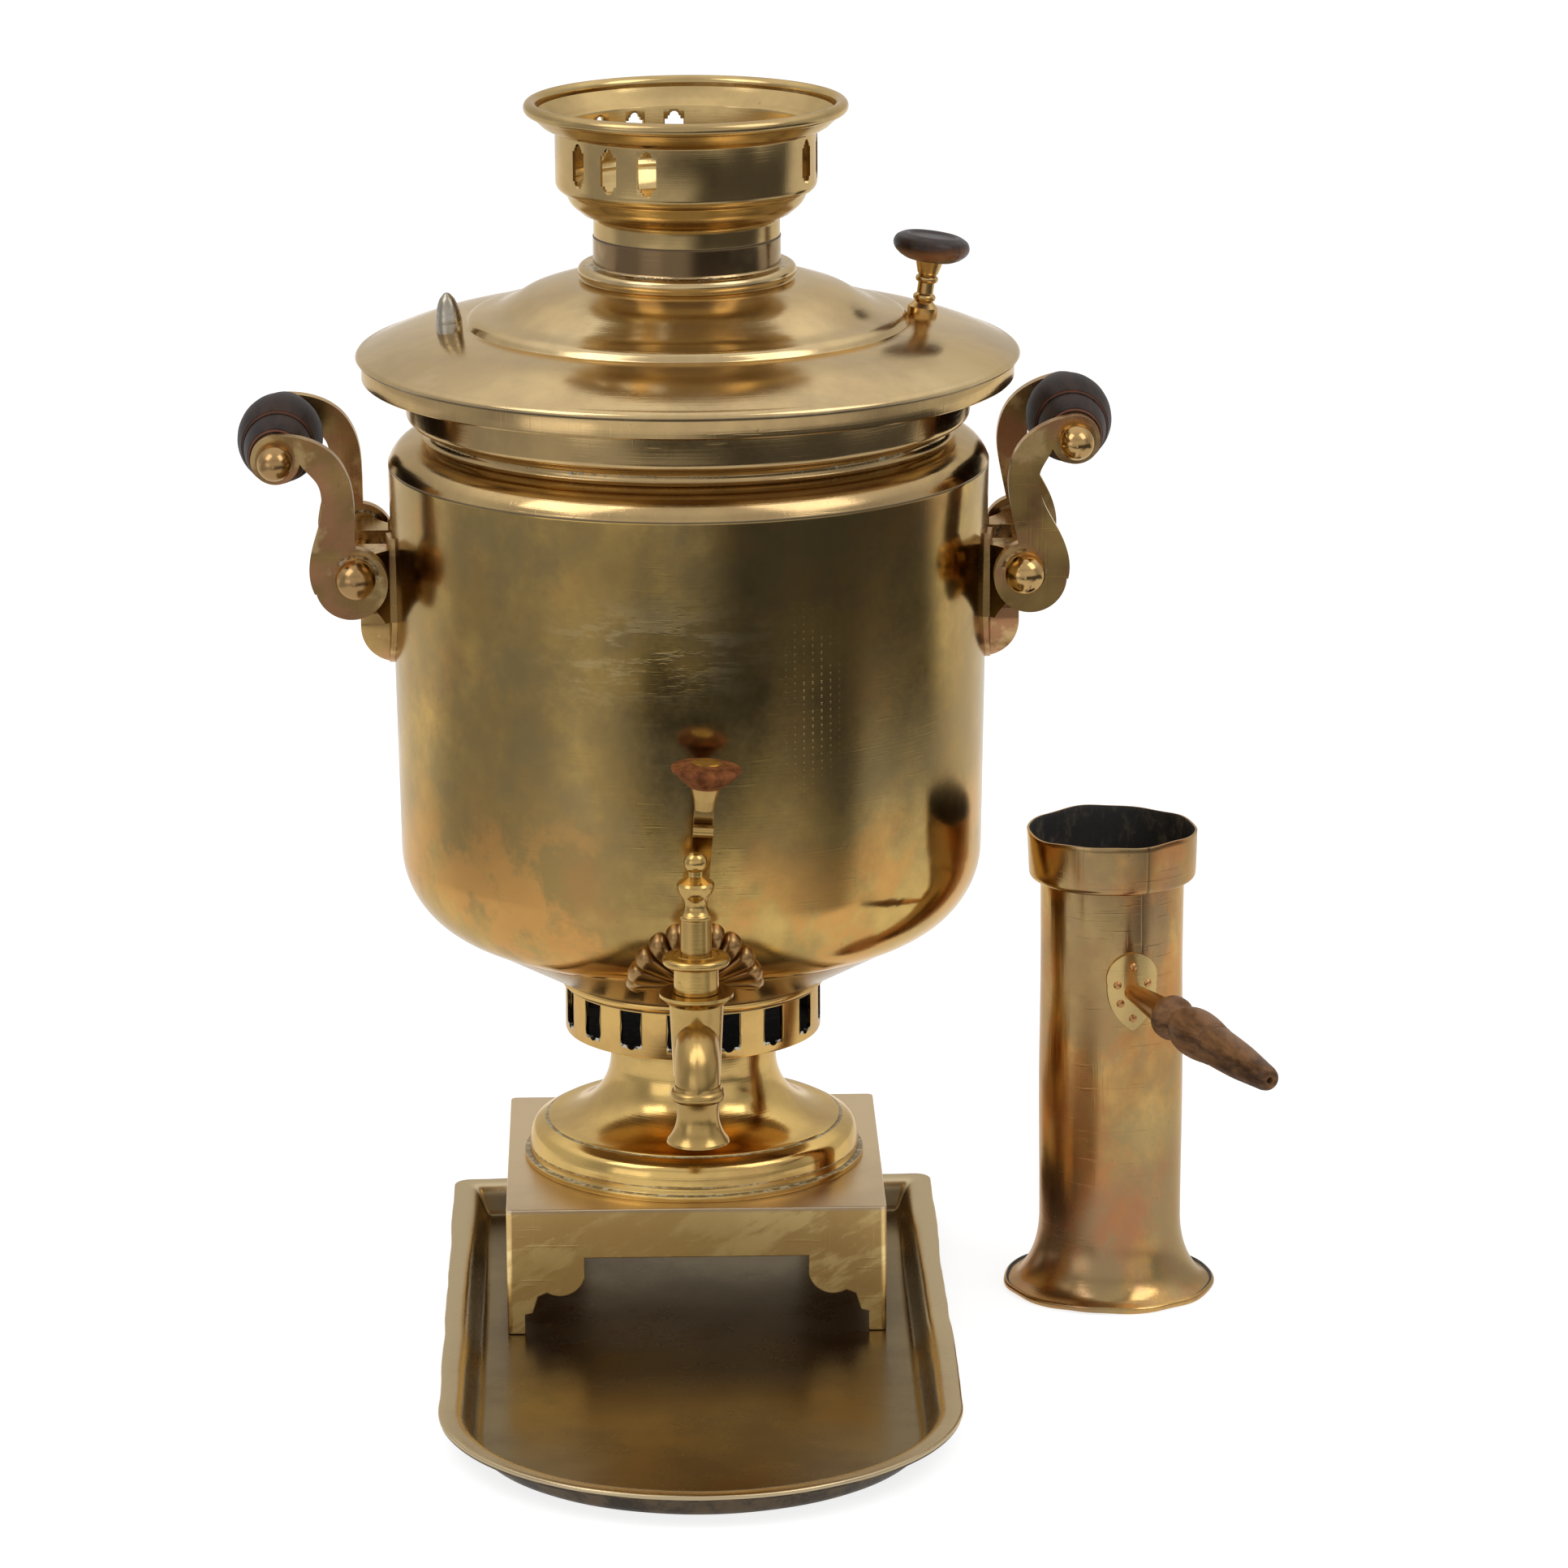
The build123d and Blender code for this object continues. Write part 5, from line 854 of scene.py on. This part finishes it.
leaf_brass = old_brass("leaf brass", (0.62, 0.44, 0.18, 1), (0.44, 0.30, 0.12, 1), 0.22, dulling=0.5, spots=0.7)
recoated("handle_leaf", leaf_brass)
rivet_places = ((0.33, 0.0), (0.1, 0.3), (0.1, -0.3), (-0.14, 0.24), (-0.14, -0.24), (-0.34, 0.0))
rivet_head = [(1.7, 0), (1.65, 0.2), *curve((1.5, 0.5), (0.95, 0.85), (0.35, 1.0)), (0, 1.02)]
for number, (height, across) in enumerate(rivet_places):
    turn = leaf_turn + across * leaf_width / pipe_radius
    ray = Vector((cos(turn), sin(turn), 0))
    spot = Vector((*pipe_axis, (leaf_level + height * leaf_height) * mm)) + ray * (31.3 * mm)
    finished(f"rivet-{number}", turned(rivet_head, spot, ray, steps=24),
             copper_brass, "chimney", "copper_brass", *(["leaf_rivets"] if number == 0 else []))
recoated("handle_socket", copper_brass)
recoated("handle_tang", copper_brass)
walnut = wooden("walnut", (0.035, 0.016, 0.008, 1), (0.20, 0.098, 0.042, 1), (0.5, 0.06, 1), (1, 1, 1),
                gloss=0.4, shine=0.12)
aim, fall = radians(-66.5), radians(2.7)
handle_line = Vector((cos(aim) * cos(fall), sin(aim) * cos(fall), -sin(fall)))
handle_seat = Vector((*pipe_axis, leaf_level * mm)) + Vector((cos(leaf_turn), sin(leaf_turn), 0)) * (31.43 * mm)
finished("pipe-handle", turned([
    (0, 31.2), (7.0, 31.2), (7.6, 31.3), (8.6, 32.0), (9.1, 32.8), (9.2, 34.0), (9.2, 35.8), (8.9, 36.6), (8.2, 37.4),
    *curve((6.6, 38.4), (5.6, 39.6), (5.4, 40.8), (5.9, 42.4), (7.2, 44.0)),
    *curve((8.4, 46.2), (9.4, 49.4), (10.0, 55.0), (9.7, 62.0), (8.8, 68.6)),
    (8.2, 69.2), (8.0, 69.6), (8.5, 70.2), (8.55, 71.4), (7.9, 71.9), (7.8, 72.3), (8.3, 72.8),
    *curve((8.2, 74.0), (7.9, 82.0), (7.3, 93.0), (6.2, 104.0), (5.2, 113.5)), (4.7, 115.4), (3.9, 116.6), (2.6, 117.0),
    (1.4, 116.8), (1.1, 114.0), (0, 113.8)], handle_seat, handle_line), walnut, "chimney", "walnut", "pipe_handle")

# ---------------------------------------------------------------- view
# A long lens nearly three metres off and almost twice as high as the part, looking down on the tray's front.
sight = bpy.data.cameras.new("sight")
sight.sensor_width, sight.lens = 36, 157.1
sight.clip_end = 30
camera = bpy.data.objects.new("camera", sight)
eye, pan, tip, roll = (-0.0259, -2.7499, 0.9354), radians(-1.343), radians(75.305), radians(-0.254)
camera.matrix_world = (Matrix.Translation(eye) @ Matrix.Rotation(pan, 4, "Z") @ Matrix.Rotation(tip, 4, "X")
                       @ Matrix.Rotation(roll, 4, "Z"))
bpy.context.scene.collection.objects.link(camera)
bpy.context.scene.camera = camera

# ---------------------------------------------------------------- table
# A matt white sheet. Seen in metal it glows in a pattern, bright close by, lit on the left and dim further off: a
# painted reflection of a studio.
work = bmesh.new()
bmesh.ops.create_grid(work, x_segments=1, y_segments=1, size=9)
sheet_mesh = bpy.data.meshes.new("table")
work.to_mesh(sheet_mesh)
work.free()
table = bpy.data.objects.new("table", sheet_mesh)
bpy.context.scene.collection.objects.link(table)
white, shader, place = new_material("white sheet")
tree = white.node_tree
tree.nodes.remove(shader)
x = place.node("SeparateXYZ", {}, {"Vector": place})
y = Wire(tree, x.socket.node.outputs[1])
# The glow that glossy rays see: a painted reflection of studio light, not a lamp.
sheet = y.above(-0.79, 0.06) * (1 - x.above(0.50, 0.3))
sheet = sheet.maths("MAXIMUM", sheet, y.above(-0.38, 0.08) * (1 - x.above(0.95, 0.15)))
close = sheet.maths("MAXIMUM", sheet * x.above(-0.72, 0.1), y.above(0.35, 0.2))
far = 1 - y.above(-1.28, 0.14)
side_light = (1 - x.above(-0.42, 0.2)) * 0.47 + x.above(0.6, 0.3) * 0.05 + 0.05
side_light = side_light.maths("MAXIMUM", side_light, far * ((1 - x.above(0.2, 0.5)) * 0.6 + 0.06))
seen = close + (1 - close) * side_light
rays = place.node("LightPath", {}, {})
glossy = Wire(tree, rays.socket.node.outputs["Is Glossy Ray"])
through = Wire(tree, rays.socket.node.outputs["Is Transmission Ray"])
paper = rays.node("BsdfDiffuse", {}, {"Color": (0.85, 0.85, 0.85, 1)})
glow = rays.node("Emission", {}, {"Color": (1, 1, 1, 1), "Strength": 1.3})
mirrored = rays.node("Emission", {}, {"Color": (1, 1, 1, 1), "Strength": seen})
shown = rays.node("MixShader", {}, {0: rays * 0.62, 1: paper, 2: glow})
final = rays.node("MixShader", {}, {0: glossy.maths("MAXIMUM", glossy, through), 1: shown, 2: mirrored})
tree.links.new(final.socket, tree.nodes["Material Output"].inputs["Surface"])
sheet_mesh.materials.append(white)

# ---------------------------------------------------------------- light
# Two soft boxes high on either side and a weak one low on the left, in a white room that is brightest overhead.
for name, place_at, width, height, power in (("left box", (-1.1, -0.69, 1.78), 0.9, 1.2, 9.0),
                                             ("right box", (1.1, -0.69, 1.78), 0.9, 1.2, 9.0),
                                             ("low left box", (-1.5, -1.5, 0.45), 1.0, 0.7, 1.6)):
    glow_box = bpy.data.lights.new(name, "AREA")
    glow_box.shape, glow_box.size, glow_box.size_y, glow_box.energy = "RECTANGLE", width, height, power
    lamp = bpy.data.objects.new(name, glow_box)
    aim = Vector((0, 0, 0.22)) - Vector(place_at)
    lamp.matrix_world = Matrix.Translation(place_at) @ aim.to_track_quat("-Z", "Y").to_matrix().to_4x4()
    bpy.context.scene.collection.objects.link(lamp)

room = bpy.data.worlds.new("room")
room.use_nodes = True
bpy.context.scene.world = room
tree = room.node_tree
start = Wire(tree)
way = start.node("SeparateXYZ", {}, {"Vector": start.node("TexCoord", {}, {}, output="Generated")})
forward = Wire(tree, way.socket.node.outputs[1])
upward = Wire(tree, way.socket.node.outputs[2])
back = forward.above(-0.1, 0.25)
high = upward.above(0.55, 0.2)
low_front = (1 - forward.above(-0.4, 0.3)) * (1 - upward.above(0.55, 0.15))
dim = (back * 0.7 + (1 - back) * 0.45) * (1 - high) + high * (0.85 + back * 0.3)
dim = dim.maths("MAXIMUM", dim, low_front * 0.9)
rays = start.node("LightPath", {}, {})
strength = rays + (1 - rays) * dim
backdrop = rays.node("Background", {}, {"Color": (1, 1, 1, 1), "Strength": strength})
tree.links.new(backdrop.socket, tree.nodes["World Output"].inputs["Surface"])
bpy.context.scene.view_settings.view_transform = "Standard"
